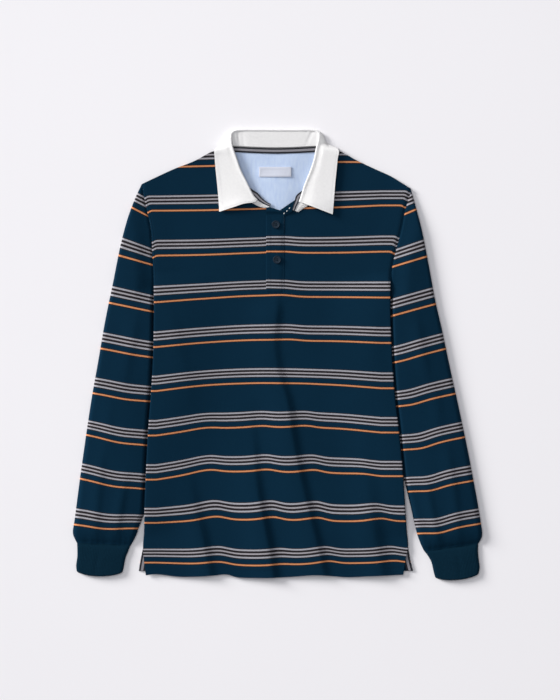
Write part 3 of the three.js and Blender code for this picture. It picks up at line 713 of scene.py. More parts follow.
def armhole_shift(line, edge, outward, over):
    """How far the armhole seam lies from its straight cross line: the seam runs down the body's
    edge to the armhole's foot, then in under the body."""
    x, y = mix(line[0], line[2], over), mix(line[1], line[3], over)
    hidden = np.clip((ARMHOLE_FOOT - y) / (ARMHOLE_FOOT - line[3]), 0, 1)
    return mix(edge(np.maximum(y, ARMHOLE_FOOT)), line[2], hidden) + outward * SEAM_GAP - x


def sleeve_top(x, y, step, over, edge, outward, folds):
    """Height of a sleeve's upper layer. It stands fuller along its middle, rolls down into a
    groove beside the body and under it lies level; at the armhole it dips to the seam, and at
    the cuff it is drawn into small gathers."""
    beside = (x - edge(y)) * outward
    below_armhole = smooth((ARMHOLE_FOOT + 16 - y) / 44)
    to_cuff = len(LEFT_SLEEVE) - 1 - step
    hump = np.sin(np.pi * np.clip(0.16 + 0.66 * over, 0, 1))
    fuller = SLEEVE_FULLER * hump * smooth((to_cuff + 0.2) / 2.2)
    puff = 1.2 * np.exp(-((to_cuff - 1.2) / 0.8) ** 2)
    full = SLEEVE_HEIGHT + fuller + puff + ridges(x, y, folds)
    shoulder = np.clip((beside - 2.4) / 5, 0, 1)
    outside = mix(GROOVE_FLOOR, full, np.sqrt(1 - (1 - shoulder) ** 2))
    hidden = mix(GROOVE_FLOOR, HIDDEN_SLEEVE, smooth((-beside - 1) / 6))
    lower = np.where(beside > 0, outside, hidden)
    seam = 1.9 * np.exp(-(beside / 2.4) ** 2)
    at_seam = mix(HIDDEN_SLEEVE, SLEEVE_HEIGHT, smooth((y - ARMHOLE_FOOT) / 30))
    upper = mix(at_seam, full, smooth(beside / 34)) - seam
    gathers = 0.25 * np.sin(x / 1.9 + 1.5 * np.sin(x / 7)) * np.exp(-(to_cuff / 0.8) ** 2)
    pinch = 1.5 * np.exp(-(to_cuff / 0.35) ** 2)
    return mix(upper, lower, below_armhole) + gathers - pinch


def make_sleeve(name, lines, edge, outward, folds, at, stripe_lines, bow):
    """A flattened tube through its cross lines, from the armhole seam to the cuff."""
    steps = np.linspace(0, len(lines) - 1, 190)[:, None]
    cross = rows_at(steps[:, 0], lines)
    over = round_trip(62)[None, :]
    plan = mix(cross[:, None, :2], cross[:, None, 2:], over[..., None])
    plan[..., 0] += armhole_shift(lines[0], edge, outward, over) * np.clip(1 - steps / 4, 0, 1)
    width = np.linalg.norm(cross[:, :2] - cross[:, 2:], axis=1)[:, None]
    x, y = plan[..., 0], plan[..., 1]
    top = sleeve_top(x, y, steps, over, edge, outward, folds)
    outer, inner = flat_tube(plan, over, width, top, SLEEVE_HEIGHT, JERSEY, outward, 9)
    place = sleeve_place(stripe_lines, at, bow, x, y, over)
    cloth = np.stack([way_round(over, width), np.hstack([place, place[:, :1]])], -1)
    sleeve = wall_piece(f"{name}_cloth", outer, inner, cloth, striped_jersey,
                        ring=True, flip=outward)
    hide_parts(name)


make_sleeve("sleeve_left", LEFT_SLEEVE, left_edge, -1, LEFT_SLEEVE_FOLDS, LEFT_LINES_AT, LEFT_LINES,
            (0.5, 0.3, 4.0))
make_sleeve("sleeve_right", RIGHT_SLEEVE, right_edge, 1, RIGHT_SLEEVE_FOLDS, RIGHT_LINES_AT,
            RIGHT_LINES, (0.66, 0.22, 4.5))

# ---- Cuffs --------------------------------------------------------------------------------
# Each cuff is a short tube of navy rib, knitted tighter than the jersey. It is folded double,
# seamed to the gathered sleeve end, and narrower than the sleeve, so that it pulls it in.

RIB_WALL = 1.8
CUFF_HEIGHT = 6.4
CUFF_WIDTH = 85.0
CUFF_LENGTH = 45.0
RIB_PITCH = 2.7  # mm from one rib to the next
RIB_WALE = 0.00135  # m, as the jersey's WALE and COURSE
RIB_COURSE = 0.0011
LEFT_CUFF = np.array([
    # outer x, y, inner x, y, how far the middle bows down
    (-340.5, -319.0, -249.8, -323.0, 0.0),
    (-340.0, -332.0, -254.0, -334.0, 1.0),
    (-340.2, -343.0, -258.0, -344.0, 2.6),
    (-342.0, -357.0, -261.0, -359.0, 5.5),
    (-341.3, -366.0, -262.8, -366.8, 9.5),
])
RIGHT_CUFF = np.array([
    (341.0, -320.0, 249.4, -333.0, 0.0),
    (340.6, -331.0, 255.5, -341.0, 0.5),
    (341.5, -345.0, 261.5, -352.0, 2.5),
    (343.4, -360.0, 265.0, -367.0, 5.5),
    (341.8, -370.0, 267.6, -376.2, 9.0),
])


def set_speckle(tree, shader, noise, low, high):
    """Base colour between low and high by a noise texture, whose inputs noise lists."""
    speckle = node(tree, "ShaderNodeTexNoise", noise)
    ramp = node(tree, "ShaderNodeValToRGB", [(0, speckle.outputs[0])])
    for stop, colour in zip(ramp.color_ramp.elements, (low, high)):
        stop.color = (*colour, 1)
    tree.links.new(ramp.outputs[0], shader.inputs["Base Color"])


def rib_material():
    """Plain navy rib in a slightly coarser knit than the jersey's."""
    rib, tree, shader = new_material("navy_rib", 0.88, Sheen_Weight=0.008, Sheen_Roughness=0.4,
                                     Specular_IOR_Level=0.03)
    place, across, along = cloth_place(tree)
    set_speckle(tree, shader, [("Vector", place), ("Scale", 380.0), ("Detail", 3.0)],
                (0.0016, 0.0125, 0.025), (0.0040, 0.0235, 0.043))
    set_relief(tree, shader, knit_height(tree, across, along, RIB_WALE, RIB_COURSE), 0.0002, 0.5)
    return rib


navy_rib = rib_material()


def make_cuff(name, lines, outward):
    """A flattened tube whose section is a row of raised ribs, deeper away from the seam, and
    whose foot is rounded where the rib is folded double."""
    steps = np.linspace(0, len(lines) - 1, 46)
    cross = rows_at(steps, lines)
    over = round_trip(230)[None, :]
    plan = mix(cross[:, None, :2], cross[:, None, 2:4], over[..., None])
    plan[..., 1] -= cross[:, 4:5] * np.sqrt(np.clip(np.sin(np.pi * over), 0, 1))
    width = np.linalg.norm(cross[:, :2] - cross[:, 2:4], axis=1)[:, None]
    share = steps[:, None] / steps[-1]
    ribs = np.cos(2 * np.pi * over * CUFF_WIDTH / RIB_PITCH + 0.5 * np.sin(over * 9))
    depth = 0.12 * smooth(share / 0.2) * smooth((1 - share) / 0.04)
    fuller = 1.3 * np.sin(np.pi * over) * smooth(share / 0.5)
    pinch = 1.3 * np.exp(-(share / 0.1) ** 2)
    foot = 1.6 * (1 - np.sqrt(1 - np.clip((share - 0.955) / 0.045, 0, 1) ** 2))
    dent = 0.4 * np.exp(-((over - 0.42) / 0.06) ** 2) * smooth(share * 1.6) * smooth((1.1 - share) * 3)
    top = CUFF_HEIGHT + depth * (ribs - 1) + fuller - pinch - foot - dent
    outer, inner = flat_tube(plan, over, width, top, CUFF_HEIGHT, RIB_WALL, outward, 7)
    around = way_round(over, width)
    cloth = np.stack([around, -share * CUFF_LENGTH + 0 * around], -1)
    cuff = wall_piece(f"{name}_rib", outer, inner, cloth, navy_rib, ring=True, flip=outward)
    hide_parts(name)


make_cuff("cuff_left", LEFT_CUFF, -1)
make_cuff("cuff_right", RIGHT_CUFF, 1)

# ---- Neck facing --------------------------------------------------------------------------
# A half-moon of blue chambray lies inside the back under the neck, turned in and stitched round
# its curved edge. It carries the label and the lower edge of the neck tape.

LIGHT_WALL = 1.0  # mm, the wall of the facing, the tapes and the label
FACING_LIFT = JERSEY + 1.7 * SEAM_GAP
FACING_SHOULDER = 315.0  # y from which its curved edge runs down
FACING_HALF = 79.0  # half its width
FACING_DROP = 122.0  # how far its curved edge reaches below FACING_SHOULDER
WARP_PITCH = 0.00085  # m between two warp yarns


def neck_sag(x):
    """How far the back neckline sags, along a parabola: 2 mm in its middle, -1 mm at its ends."""
    return 3.0 * np.clip(1 - ((x - NECK_MIDDLE) / 76) ** 2, 0, 1) - 1


def woven_material(name, warp, weft, pitch, roughness, depth, sheen=0.0):
    """A plain weave: warp and weft yarns pass over each other in a checkered order."""
    cloth, tree, shader = new_material(name, roughness, Specular_IOR_Level=0.3, Sheen_Weight=sheen)
    place, across, along = cloth_place(tree)
    warp_wave = math(tree, "SINE", math(tree, "MULTIPLY", across, np.pi / pitch))
    weft_wave = math(tree, "SINE", math(tree, "MULTIPLY", along, np.pi / pitch))
    checker = math(tree, "MULTIPLY", warp_wave, weft_wave)
    slub = node(tree, "ShaderNodeTexNoise", [("Scale", 260.0), ("Detail", 3.0)])
    stretch = node(tree, "ShaderNodeMapping", [("Vector", place), ("Scale", (1.0, 0.25, 1.0))])
    tree.links.new(stretch.outputs[0], slub.inputs["Vector"])
    share = math(tree, "MULTIPLY_ADD", checker, 0.32, math(tree, "MULTIPLY_ADD", slub.outputs[0], 0.7, 0.15))
    colour = node(tree, "ShaderNodeMix", [(0, share), (6, (*warp, 1)), (7, (*weft, 1))], data_type="RGBA")
    tree.links.new(colour.outputs[2], shader.inputs["Base Color"])
    relief = math(tree, "ADD", math(tree, "ABSOLUTE", warp_wave), math(tree, "ABSOLUTE", weft_wave))
    set_relief(tree, shader, relief, depth, 0.6)
    return cloth


blue_chambray = woven_material("blue_chambray", (0.37, 0.49, 0.76), (0.67, 0.77, 0.90), WARP_PITCH,
                               0.8, 0.0001)

# The facing lies over one soft ridge: (x, y, rise) down its crest, its reach to the left and right.
FACING_RISE = [([(14, 348, 0), (14, 325, 2.4), (12, 270, 3.0), (8, 235, 1.6), (4, 190, 0)], 62, 27)]


def laid_piece(name, x, y, lift, cloth, material, swell):
    """A flat piece laid on the back panel: its grid of plan points is raised by lift, and its face
    lies LIGHT_WALL higher, with the swell on top."""
    low = body_rise(x, y) + lift
    lower = np.stack([x, y, low], -1)
    upper = np.stack([x, y, low + LIGHT_WALL + swell], -1)
    return wall_piece(name, upper, lower, cloth, material)


def make_facing():
    """A grid from edge to edge whose lower side is half an ellipse and whose upper side follows
    the neckline. Its edge is thicker where it is turned in."""
    u = np.sin(np.linspace(-0.5, 0.5, 91) * np.pi)[None, :]
    v = np.linspace(0, 1, 80)[:, None]
    x = NECK_MIDDLE + FACING_HALF * u + 0 * v
    foot = FACING_SHOULDER - FACING_DROP * np.sqrt(1 - u * u)
    y = mix(foot, 350.5 - neck_sag(x), v)
    from_edge = np.minimum((y - foot) / 4, FACING_HALF * (1 - np.abs(u)) / 4 + 0.4)
    turned = 0.35 * np.exp(-((np.clip(from_edge, 0, 9) - 1.1) / 0.5) ** 2)
    ripple = 0.35 * np.sin(x / 13 + y / 31) * smooth(from_edge / 5)
    facing = laid_piece("chambray_facing", x, y, FACING_LIFT + ridges(x, y, FACING_RISE),
                        np.stack([x, y], -1), blue_chambray, swell=turned + ripple)
    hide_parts("neck_facing")


make_facing()

# ---- Label and tapes ----------------------------------------------------------------------
# A blank satin label is sewn to the facing. A woven twill tape, dark with a grey middle, covers
# the neck seam, and two short ones bind the slits at the foot of the sides.

TAPE_LIFT = FACING_LIFT + LIGHT_WALL + 2 * SEAM_GAP
TAPE_WIDTH = 9.3
TAPE_END_WIDTH = 4.6
TAPE_CLIMB = 4.6  # mm that its front ends climb the stand
VENT_TAPE_WIDTH = 10.5
LABEL = {"x": -4.0, "y": 311.0, "width": 55.0, "height": 17.0}
TAPE_DARK = (0.009, 0.010, 0.016)
TAPE_GREY = (0.23, 0.225, 0.25)

woven_label = woven_material("woven_label", (0.55, 0.585, 0.685), (0.64, 0.665, 0.75), 0.0005, 0.45,
                             0.00005, 0.05)


def tape_material():
    """A twill tape, dark with a grey band in the middle. The second value of its map is the share
    across the tape, in thousandths; the first runs along it."""
    cloth, tree, shader = new_material("striped_tape", 0.7, Specular_IOR_Level=0.3)
    along, across = cloth_place(tree)[1:]
    ramp = node(tree, "ShaderNodeValToRGB", [(0, math(tree, "MULTIPLY", across, 1000.0))])
    ramp.color_ramp.interpolation = "CONSTANT"
    points = ramp.color_ramp.elements
    points[0].color = (*TAPE_DARK, 1)
    points[1].position = 0.30
    points[1].color = (*TAPE_GREY, 1)
    points.new(0.68).color = (*TAPE_DARK, 1)
    tree.links.new(ramp.outputs[0], shader.inputs["Base Color"])
    turn = math(tree, "ADD", math(tree, "MULTIPLY", along, 2 * np.pi / 0.0009),
                math(tree, "MULTIPLY", across, 60000.0))
    set_relief(tree, shader, math(tree, "SINE", turn), 0.0001, 0.5)
    return cloth


striped_tape = tape_material()


def make_label():
    """A rectangle of satin that bends softly and has turned-under edges."""
    u, v = np.meshgrid(np.linspace(-0.5, 0.5, 60), np.linspace(-0.5, 0.5, 26))
    x, y = LABEL["x"] + LABEL["width"] * u, LABEL["y"] + LABEL["height"] * v
    edge = np.minimum((0.5 - np.abs(u)) * LABEL["width"], (0.5 - np.abs(v)) * LABEL["height"])
    bend = 0.25 * np.sin(7 * u) * np.cos(2.2 * v) + 0.3 * smooth(edge / 1.2) - 0.2 * smooth((edge - 3) / 3)
    label = laid_piece("blank_label", x, y, TAPE_LIFT + ridges(x, y, FACING_RISE), np.stack([x, y], -1),
                       woven_label, swell=bend)
    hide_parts("label")


make_label()


def outward_of(path):
    """Unit normals on the left of a plan path."""
    along = unit(np.gradient(path, axis=0))
    return np.stack([-along[:, 1], along[:, 0]], -1)


def length_along(path):
    """How far each point of a path lies from its start, along the path."""
    return np.cumsum(np.linalg.norm(np.diff(path, axis=0, prepend=path[:1]), axis=1))


# The collar, station by station from its left front end round the back to its right front end.
# neck: the seam with the body. roll: the fold line and its height. edge: the fall's outer edge.
# behind: 0 where the fall lies on the shirt, 1 where it is folded down behind the back neck.
STAND_STATIONS = np.array([
    # neck x, y, roll x, y, z, behind
    (-13.5, 253.0, -12.9, 252.6, 10.2, 0),
    (-27.0, 254.6, -22.9, 257.0, 10.8, 0),
    (-43.0, 262.0, -33.5, 264.0, 11.6, 0),
    (-57.0, 270.0, -41.0, 272.5, 12.6, 0),
    (-70.0, 296.0, -51.9, 294.1, 13.4, 0),
    (-80.0, 318.0, -62.0, 314.5, 13.6, 0),
    (-87.0, 337.0, -69.5, 336.0, 13.4, 0),
    (-89.0, 348.0, -75.7, 353.6, 12.4, 0),
    (-85.0, 354.2, -79.0, 366.0, 10.0, 0.55),
    (-77.0, 354.6, -78.0, 377.5, 8.2, 0.9),
    (-66.0, 354.2, -67.0, 382.8, 7.2, 1),
    (-36.0, 352.7, -37.0, 383.2, 6.9, 1),
    (-4.0, 351.9, -4.0, 383.0, 6.8, 1),
    (28.0, 352.6, 29.0, 383.0, 6.9, 1),
    (57.0, 354.1, 60.0, 382.8, 7.2, 1),
    (69.0, 354.6, 70.5, 377.5, 8.2, 0.9),
    (77.0, 354.2, 70.0, 366.0, 10.0, 0.55),
    (81.0, 348.0, 65.5, 353.0, 11.4, 0),
    (79.5, 336.0, 62.0, 335.0, 11.6, 0),
    (73.0, 319.0, 57.0, 318.0, 11.3, 0),
    (66.0, 302.0, 50.2, 301.0, 11.1, 0),
    (58.5, 284.0, 44.2, 285.6, 10.9, 0),
    (54.0, 266.0, 39.6, 270.3, 11.0, 0),
    (51.0, 257.5, 36.0, 260.5, 11.0, 0),
    (41.5, 251.5, 31.6, 252.5, 10.8, 0),
    (33.5, 245.5, 28.4, 245.0, 10.4, 0),
])
FALL_EDGES = np.array([
    # edge x, y, z, at the stations from the third to the last but two
    (-99.0, 243.0, 8.0),
    (-99.8, 258.0, 8.2),
    (-102.3, 288.0, 9.4),
    (-105.0, 314.0, 10.2),
    (-106.6, 334.0, 10.9),
    (-107.0, 346.5, 11.2),
    (-101.0, 354.0, 4.0),
    (-84.0, 350.0, 0.0),
    (-66.0, 349.0, 0.0),
    (-36.0, 347.5, 0.0),
    (-4.0, 347.0, 0.0),
    (28.0, 347.5, 0.0),
    (57.0, 349.0, 0.0),
    (77.0, 350.0, 0.0),
    (96.5, 354.0, 4.0),
    (104.0, 346.0, 12.0),
    (102.0, 332.0, 11.9),
    (100.0, 312.0, 11.7),
    (98.0, 292.0, 11.5),
    (96.5, 272.0, 11.4),
    (95.0, 254.0, 11.3),
    (93.7, 238.5, 11.0),
])


def make_neck_tape():
    """The tape follows the neck seam. At the front ends it climbs the stand's inner side, up to
    just under its top edge."""
    count = len(STAND_STATIONS)
    steps = np.linspace(0, count - 1, 260)
    stations = rows_at(steps, STAND_STATIONS)
    from_end = np.minimum(steps, count - 1 - steps)
    at_front = 1 - smooth((from_end - 2.5) / 1.5)
    seam = mix(stations[:, :2], stations[:, 2:4], at_front[:, None])
    outward = outward_of(seam)
    width = mix(TAPE_END_WIDTH, TAPE_WIDTH, smooth(from_end / 3.5))
    across = np.linspace(0, 1, 9)
    inward = 0.8 - 1.3 * at_front + across[:, None] * width
    x = seam[:, 0] - outward[:, 0] * inward
    y = seam[:, 1] - outward[:, 1] * inward
    cloth = np.stack([length_along(seam) + 0 * inward, across[:, None] + 0 * inward], -1)
    dome = 0.25 * np.sin(np.pi * across)[:, None]
    tape = laid_piece("neckline_tape", x, y, TAPE_LIFT + TAPE_CLIMB * at_front, cloth, striped_tape,
                      swell=dome)
    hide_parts("neck_tape")


make_neck_tape()


def make_vent_tape(name, edge, flare, inward):
    """A tape along the back's side edge, from its hem to the top of the slit."""
    y = np.linspace(BACK_HEM + 0.5, VENT_TOP, 30)[:, None]
    across = np.linspace(0, 1, 9)[None, :]
    x = edge(y) - inward * (flare * below_vent(y) - SEAM_GAP) + inward * across * VENT_TAPE_WIDTH
    y = y + 0 * x
    cloth = np.stack([y, across + 0 * x], -1)
    tape = laid_piece(f"{name}_twill", x, y, FACING_LIFT, cloth, striped_tape,
                      swell=0.2 * np.sin(np.pi * across))
    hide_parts(name)


make_vent_tape("vent_tape_left", left_edge, BACK_FLARE_LEFT, 1)
make_vent_tape("vent_tape_right", right_edge, BACK_FLARE_RIGHT, -1)

# ---- Placket ------------------------------------------------------------------------------
# Two straight bands of the jersey, one on the other, close the slit in the front. The upper one
# has a free left edge, is stitched down on its right, and turns out at the neck.

WOVEN = 1.2  # mm, the wall of the placket and the collar
BAND_FOLD = 240.0  # y above which the bands leave the front and the upper one is folded over
UNDER_BAND_DOWN = 0.5  # mm that the under band lies below the front's face
FREE_STITCHES = 7.4  # mm from PLACKET_LEFT in to the stitches along the upper band's free edge


def straight_at(at, knots, rows):
    """Rows of numbers read at the places at, along straight lines from knot to knot."""
    rows = np.asarray(rows, float)
    return np.stack([np.interp(at, knots, column) for column in rows.T], -1)


def band(name, left_line, right_line, top_of, bottom_of, place_shift):
    """A band between two outlines, read at the same shares of their corners. Its edges are folded,
    so they round over; top_of and bottom_of give the heights of its two faces."""
    last = len(left_line) - 1
    steps = np.concatenate([np.linspace(0, 1, 96)[:-1], np.linspace(1, last, 10 * (last - 1) + 1)])
    left = straight_at(steps, np.arange(last + 1), left_line)
    right = straight_at(steps, np.arange(last + 1), right_line)
    u = 0.5 - 0.5 * np.cos(np.linspace(0, np.pi, 29))
    plan = mix(left[:, None], right[:, None], u[None, :, None])
    x, y = plan[..., 0], plan[..., 1]
    width = np.linalg.norm(right - left, axis=1)[:, None]
    inset = np.minimum(u, 1 - u)[None, :] * width
    folded = 0.3 * (1 - np.sqrt(1 - (1 - np.clip(inset / 0.5, 0, 1)) ** 2))
    top = top_of(x, y) - folded
    outer = np.stack([x, y, top], -1)
    lower = np.stack([x, y, bottom_of(x, y)], -1)
    turned = np.minimum(y, 2 * BAND_FOLD - y)
    cloth = np.stack([x, stripe_place(x, turned - place_shift, [])], -1)
    return wall_piece(name, outer, lower, cloth, striped_jersey)


def front_under(x, y):
    """Height of the front that the bands lie on. Past the fold line it stays as it is there."""
    return front_top(x, np.minimum(y, BAND_FOLD))


def upper_band_top(x, y):
    """The upper band lies on the front: its two topstitched lines sink it a little, its stitched
    edge is pressed thin, and its end turns out and up at the neck."""
    from_free, from_stitched = x - PLACKET_LEFT - FREE_STITCHES, x - PLACKET_RIGHT + 2.2
    lines = np.exp(-(from_free / 0.7) ** 2) + np.exp(-(from_stitched / 0.7) ** 2)
    straight = smooth((PLACKET_TOP - y) / 4)
    wave = 0.35 * np.sin(y / 23) * smooth((190 - y) / 60)
    turned_out = 2.4 * smooth((y - PLACKET_TOP) / 7)
    above_front = mix(1.3, 0.6, smooth((x - PLACKET_RIGHT + 9) / 9) * smooth((214 - y) / 12))
    return front_under(x, y) + above_front + wave - 0.35 * lines * straight + turned_out


def upper_band_bottom(x, y):
    """The upper band keeps its full wall but where it is stitched down flat on the front."""
    return np.maximum(upper_band_top(x, y) - WOVEN, front_under(x, y) + 0.1)


def make_placket():
    """The under band fills the slit, and the upper band covers it."""
    under = band(
        "under_band",
        [(PLACKET_LEFT + 1, PLACKET_FOOT + 1), (PLACKET_LEFT + 1, 241), (PLACKET_LEFT + 6.5, 245.5)],
        [(PLACKET_RIGHT - 0.5, PLACKET_FOOT + 1), (PLACKET_RIGHT - 0.5, PLACKET_TOP), (3.0, 243.5)],
        lambda x, y: front_under(x, y) - UNDER_BAND_DOWN,
        lambda x, y: front_under(x, y) - UNDER_BAND_DOWN - WOVEN, 0)
    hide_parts("placket_under")
    upper = band(
        "upper_band",
        [(PLACKET_LEFT - 0.7, PLACKET_FOOT - 1.5), (PLACKET_LEFT - 0.7, 241.5), (-19.2, 249.6),
         (-13.6, 251.4), (3.6, 245.4), (29.8, 263.2)],
        [(PLACKET_RIGHT + 1, PLACKET_FOOT - 1.5), (PLACKET_RIGHT, 236.0), (11.5, 236.3), (14, 237.3),
         (24.0, 242.0), (31.5, 261.5)],
        upper_band_top, upper_band_bottom, 2.0)
    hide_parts("placket_upper")


make_placket()

# ---- Buttons ------------------------------------------------------------------------------
# Two navy four-hole buttons with a raised rim and a dished middle, cast in resin and sewn on
# with navy thread that crosses from hole to hole.

BUTTON = {"radius": 6.7, "height": 2.4, "rim": 1.5, "dish": 0.95, "hole": 0.85, "spread": 1.75}
BUTTONS = {"button_upper": (-2.9, 221.5), "button_lower": (-1.0, 161.8)}
BUTTON_SEAT = 1.5  # mm that the upper band's face stands above the front's, about
THREAD_GRAIN = [("Scale", 3000.0)]


def grained_material(name, roughness, grain, low, high, **sockets):
    """A colour that drifts from low to high through the piece; grain lists the noise's inputs."""
    made, tree, shader = new_material(name, roughness, **sockets)
    place = node(tree, "ShaderNodeTexCoord").outputs["Object"]
    set_speckle(tree, shader, [("Vector", place), *grain], low, high)
    return made


navy_button = grained_material("navy_button", 0.6, [("Scale", 420.0), ("Distortion", 2.5)],
                               (0.003, 0.009, 0.018), (0.013, 0.029, 0.050), Specular_IOR_Level=0.2)
thread_navy = grained_material("thread_navy", 0.8, THREAD_GRAIN, (0.002, 0.011, 0.022),
                               (0.006, 0.022, 0.040), Specular_IOR_Level=0.1)


def button_face(radius):
    """Height of the button's face from its middle out: dished, then the rim's round ring."""
    rim_middle = BUTTON["radius"] - 0.5 * BUTTON["rim"]
    ring = np.sqrt(np.clip(1 - ((radius - rim_middle) / (0.62 * BUTTON["rim"])) ** 2, 0, 1))
    return BUTTON["height"] + BUTTON["dish"] * (ring - 1)


def make_button(name, centre):
    """A disc on rings of radius and angle. Its four holes are wells in the face, and its
    underside is shallow and rounded at the edge."""
    angle = np.linspace(0, 2 * np.pi, 97)[None, :-1]
    share = np.concatenate([np.linspace(0.02, 0.62, 30), np.linspace(0.64, 1, 22)])[:, None]
    radius = BUTTON["radius"] * share
    x, y = radius * np.cos(angle), radius * np.sin(angle)
    face = button_face(radius) + 0 * x
    for turn in np.radians([45, 135, 225, 315]):
        from_hole = np.hypot(x - BUTTON["spread"] * np.cos(turn), y - BUTTON["spread"] * np.sin(turn))
        face -= 1.25 * smooth((BUTTON["hole"] + 0.15 - from_hole) / 0.3)
    under = 0.15 + 1.0 * smooth((share - 0.7) / 0.3) + 0 * x
    base = front_top(np.array(centre[0]), np.array(centre[1])) + BUTTON_SEAT + SEAM_GAP
    upper = np.stack([centre[0] + x, centre[1] + y, base + face], -1)
    lower = np.stack([centre[0] + x, centre[1] + y, base + under], -1)
    grid = np.concatenate([lower, upper[::-1]])
    ids = np.arange(grid.shape[0] * grid.shape[1]).reshape(grid.shape[:2])
    ids = np.hstack([ids, ids[:, :1]])
    quads = quads_of(ids).reshape(-1, 4)
    caps = [ids[0, :-1][::-1].tolist(), ids[-1, :-1].tolist()]
    mesh = smooth_mesh(name, grid, [*quads.tolist(), *caps])
    mesh.set_sharp_from_angle(angle=np.radians(60))
    button = add_piece(f"{name}_resin", mesh, navy_button)
    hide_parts(name)
    return base


def tube_mesh(name, starts, ends, lift, radius, material):
    """Many short threads joined in one mesh: each is a six-sided tube from its start to its end,
    bowed up by lift and tapered at both ends."""
    t = np.linspace(0, 1, 5)[None, :, None]
    middle = mix(starts[:, None], ends[:, None], t)
    up = np.array([0, 0, 1.0])
    middle = middle + up * (lift * 4 * t * (1 - t))
    along = unit(ends - starts)
    side = unit(np.cross(along, up))
    top = np.cross(side, along)
    turn = np.linspace(0, 2 * np.pi, 7)[:-1]
    thick = radius * np.array([0.45, 0.9, 1.0, 0.9, 0.45])[None, :, None, None]
    ring = (side[:, None, None] * np.cos(turn)[None, None, :, None]
            + top[:, None, None] * np.sin(turn)[None, None, :, None])
    points = middle[:, :, None] + thick * ring
    ids = np.arange(points.size // 3).reshape(points.shape[:3])
    quads = quads_of(np.concatenate([ids, ids[:, :, :1]], axis=2)).reshape(-1, 4)
    caps = [*ids[:, 0, ::-1].tolist(), *ids[:, -1].tolist()]
    return add_piece(name, smooth_mesh(name, points, [*quads.tolist(), *caps]), material)


def make_buttons():
    """Both buttons, and in each two double threads from a left hole to the right one."""
    starts, ends = [], []
    for name, centre in BUTTONS.items():
        height = make_button(name, centre) + BUTTON["height"] - BUTTON["dish"]
        half = BUTTON["spread"] * np.sqrt(0.5)
        for sign in (-1, 1):
            for shift in (-0.22, 0.22):
                starts.append((centre[0] - half, centre[1] + sign * half + shift, height - 0.2))
                ends.append((centre[0] + half, centre[1] + sign * half + shift, height - 0.2))
    tube_mesh("button_thread", np.array(starts), np.array(ends), 0.45, 0.24, thread_navy)


make_buttons()

# ---- Collar -------------------------------------------------------------------------------
# The collar is a white cotton twill stand with a turned-over fall. It is sewn to the neck seam,
# its fall is pressed flat on the shirt in front, and behind the neck it is folded under.

STAND_FOOT = 5.2  # mm, the height of the stand's foot behind the neck
STAND_HEIGHT = 32.0  # mm from its foot to its fold, along the cloth
FALL_DEPTH = 60.0  # mm from the fold to the fall's edge, along the cloth
FALL_TURN = 14.0  # mm that the fold stands out where the fall turns behind the neck
STAND_CREASES = [
    # (x, y, depth) down the crease, its reach to the left and to the right of it
    ([(-69, 384, 1.0), (-66.5, 366, 1.1), (-65, 352, 0.6)], 1.6, 5.0),
    ([(-61, 384, 0.5), (-58, 352, 0.7)], 1.4, 5.0),
    ([(60, 384, 0.8), (51, 364, 0.6), (46, 352, 0)], 1.6, 4.5),
    ([(50, 384, 0.5), (42, 362, 0)], 1.5, 4.0),
]


def twill_material():
    """White cotton twill: fine ribs that run aslant across the cloth."""
    twill, tree, shader = new_material("white_twill", 0.78, Specular_IOR_Level=0.3)
    place, across, along = cloth_place(tree)
    turn = math(tree, "ADD", math(tree, "MULTIPLY", across, 2 * np.pi / 0.0011),
                math(tree, "MULTIPLY", along, 2 * np.pi / 0.0007))
    set_speckle(tree, shader, [("Vector", place), ("Scale", 240.0), ("Detail", 4.0)],
                (0.775, 0.77, 0.77), (0.865, 0.86, 0.855))
    set_relief(tree, shader, math(tree, "SINE", turn), 0.00008, 0.5)
    return twill


white_twill = twill_material()


def make_stand():
    """The stand's neck side, from the neck seam up to just under the fold line. It bulges a
    little in front, and behind it creases where it turns at the corners of the neck."""
    rows = rows_at(np.linspace(0, len(STAND_STATIONS) - 1, 300), STAND_STATIONS)
    neck, roll, roll_z, behind = rows[:, :2], rows[:, 2:4], rows[:, 4:5], np.clip(rows[:, 5:6], 0, 1)
    foot = neck + outward_of(neck) * mix(3.0, 0.9, smooth(behind))
    on_front = front_top(foot[:, 0], np.minimum(foot[:, 1], 350))[:, None] + SEAM_GAP
    foot = np.hstack([foot, mix(on_front, STAND_FOOT, smooth(behind * 1.4))])
    top = np.hstack([roll + outward_of(roll) * mix(1.2, -2.9, behind), roll_z - mix(4.2, 1.35, behind)])
    t = np.linspace(0, 1, 16)[None, :, None]
    grid = mix(foot[:, None], top[:, None], t)
    bulge = 0.9 * np.sin(np.pi * t[..., 0])
    grid[..., 2] += mix(bulge, -ridges(grid[..., 0], grid[..., 1], STAND_CREASES), behind)
    length = length_along(neck)[:, None]
    cloth = np.stack([length + 0 * t[..., 0], STAND_HEIGHT * t[..., 0] + 0 * length], -1)
    inner = grid + WOVEN * grid_normals(grid, 1)
    stand = wall_piece("stand_twill", grid, inner, cloth, white_twill, flip=-1)
    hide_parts("collar_stand")


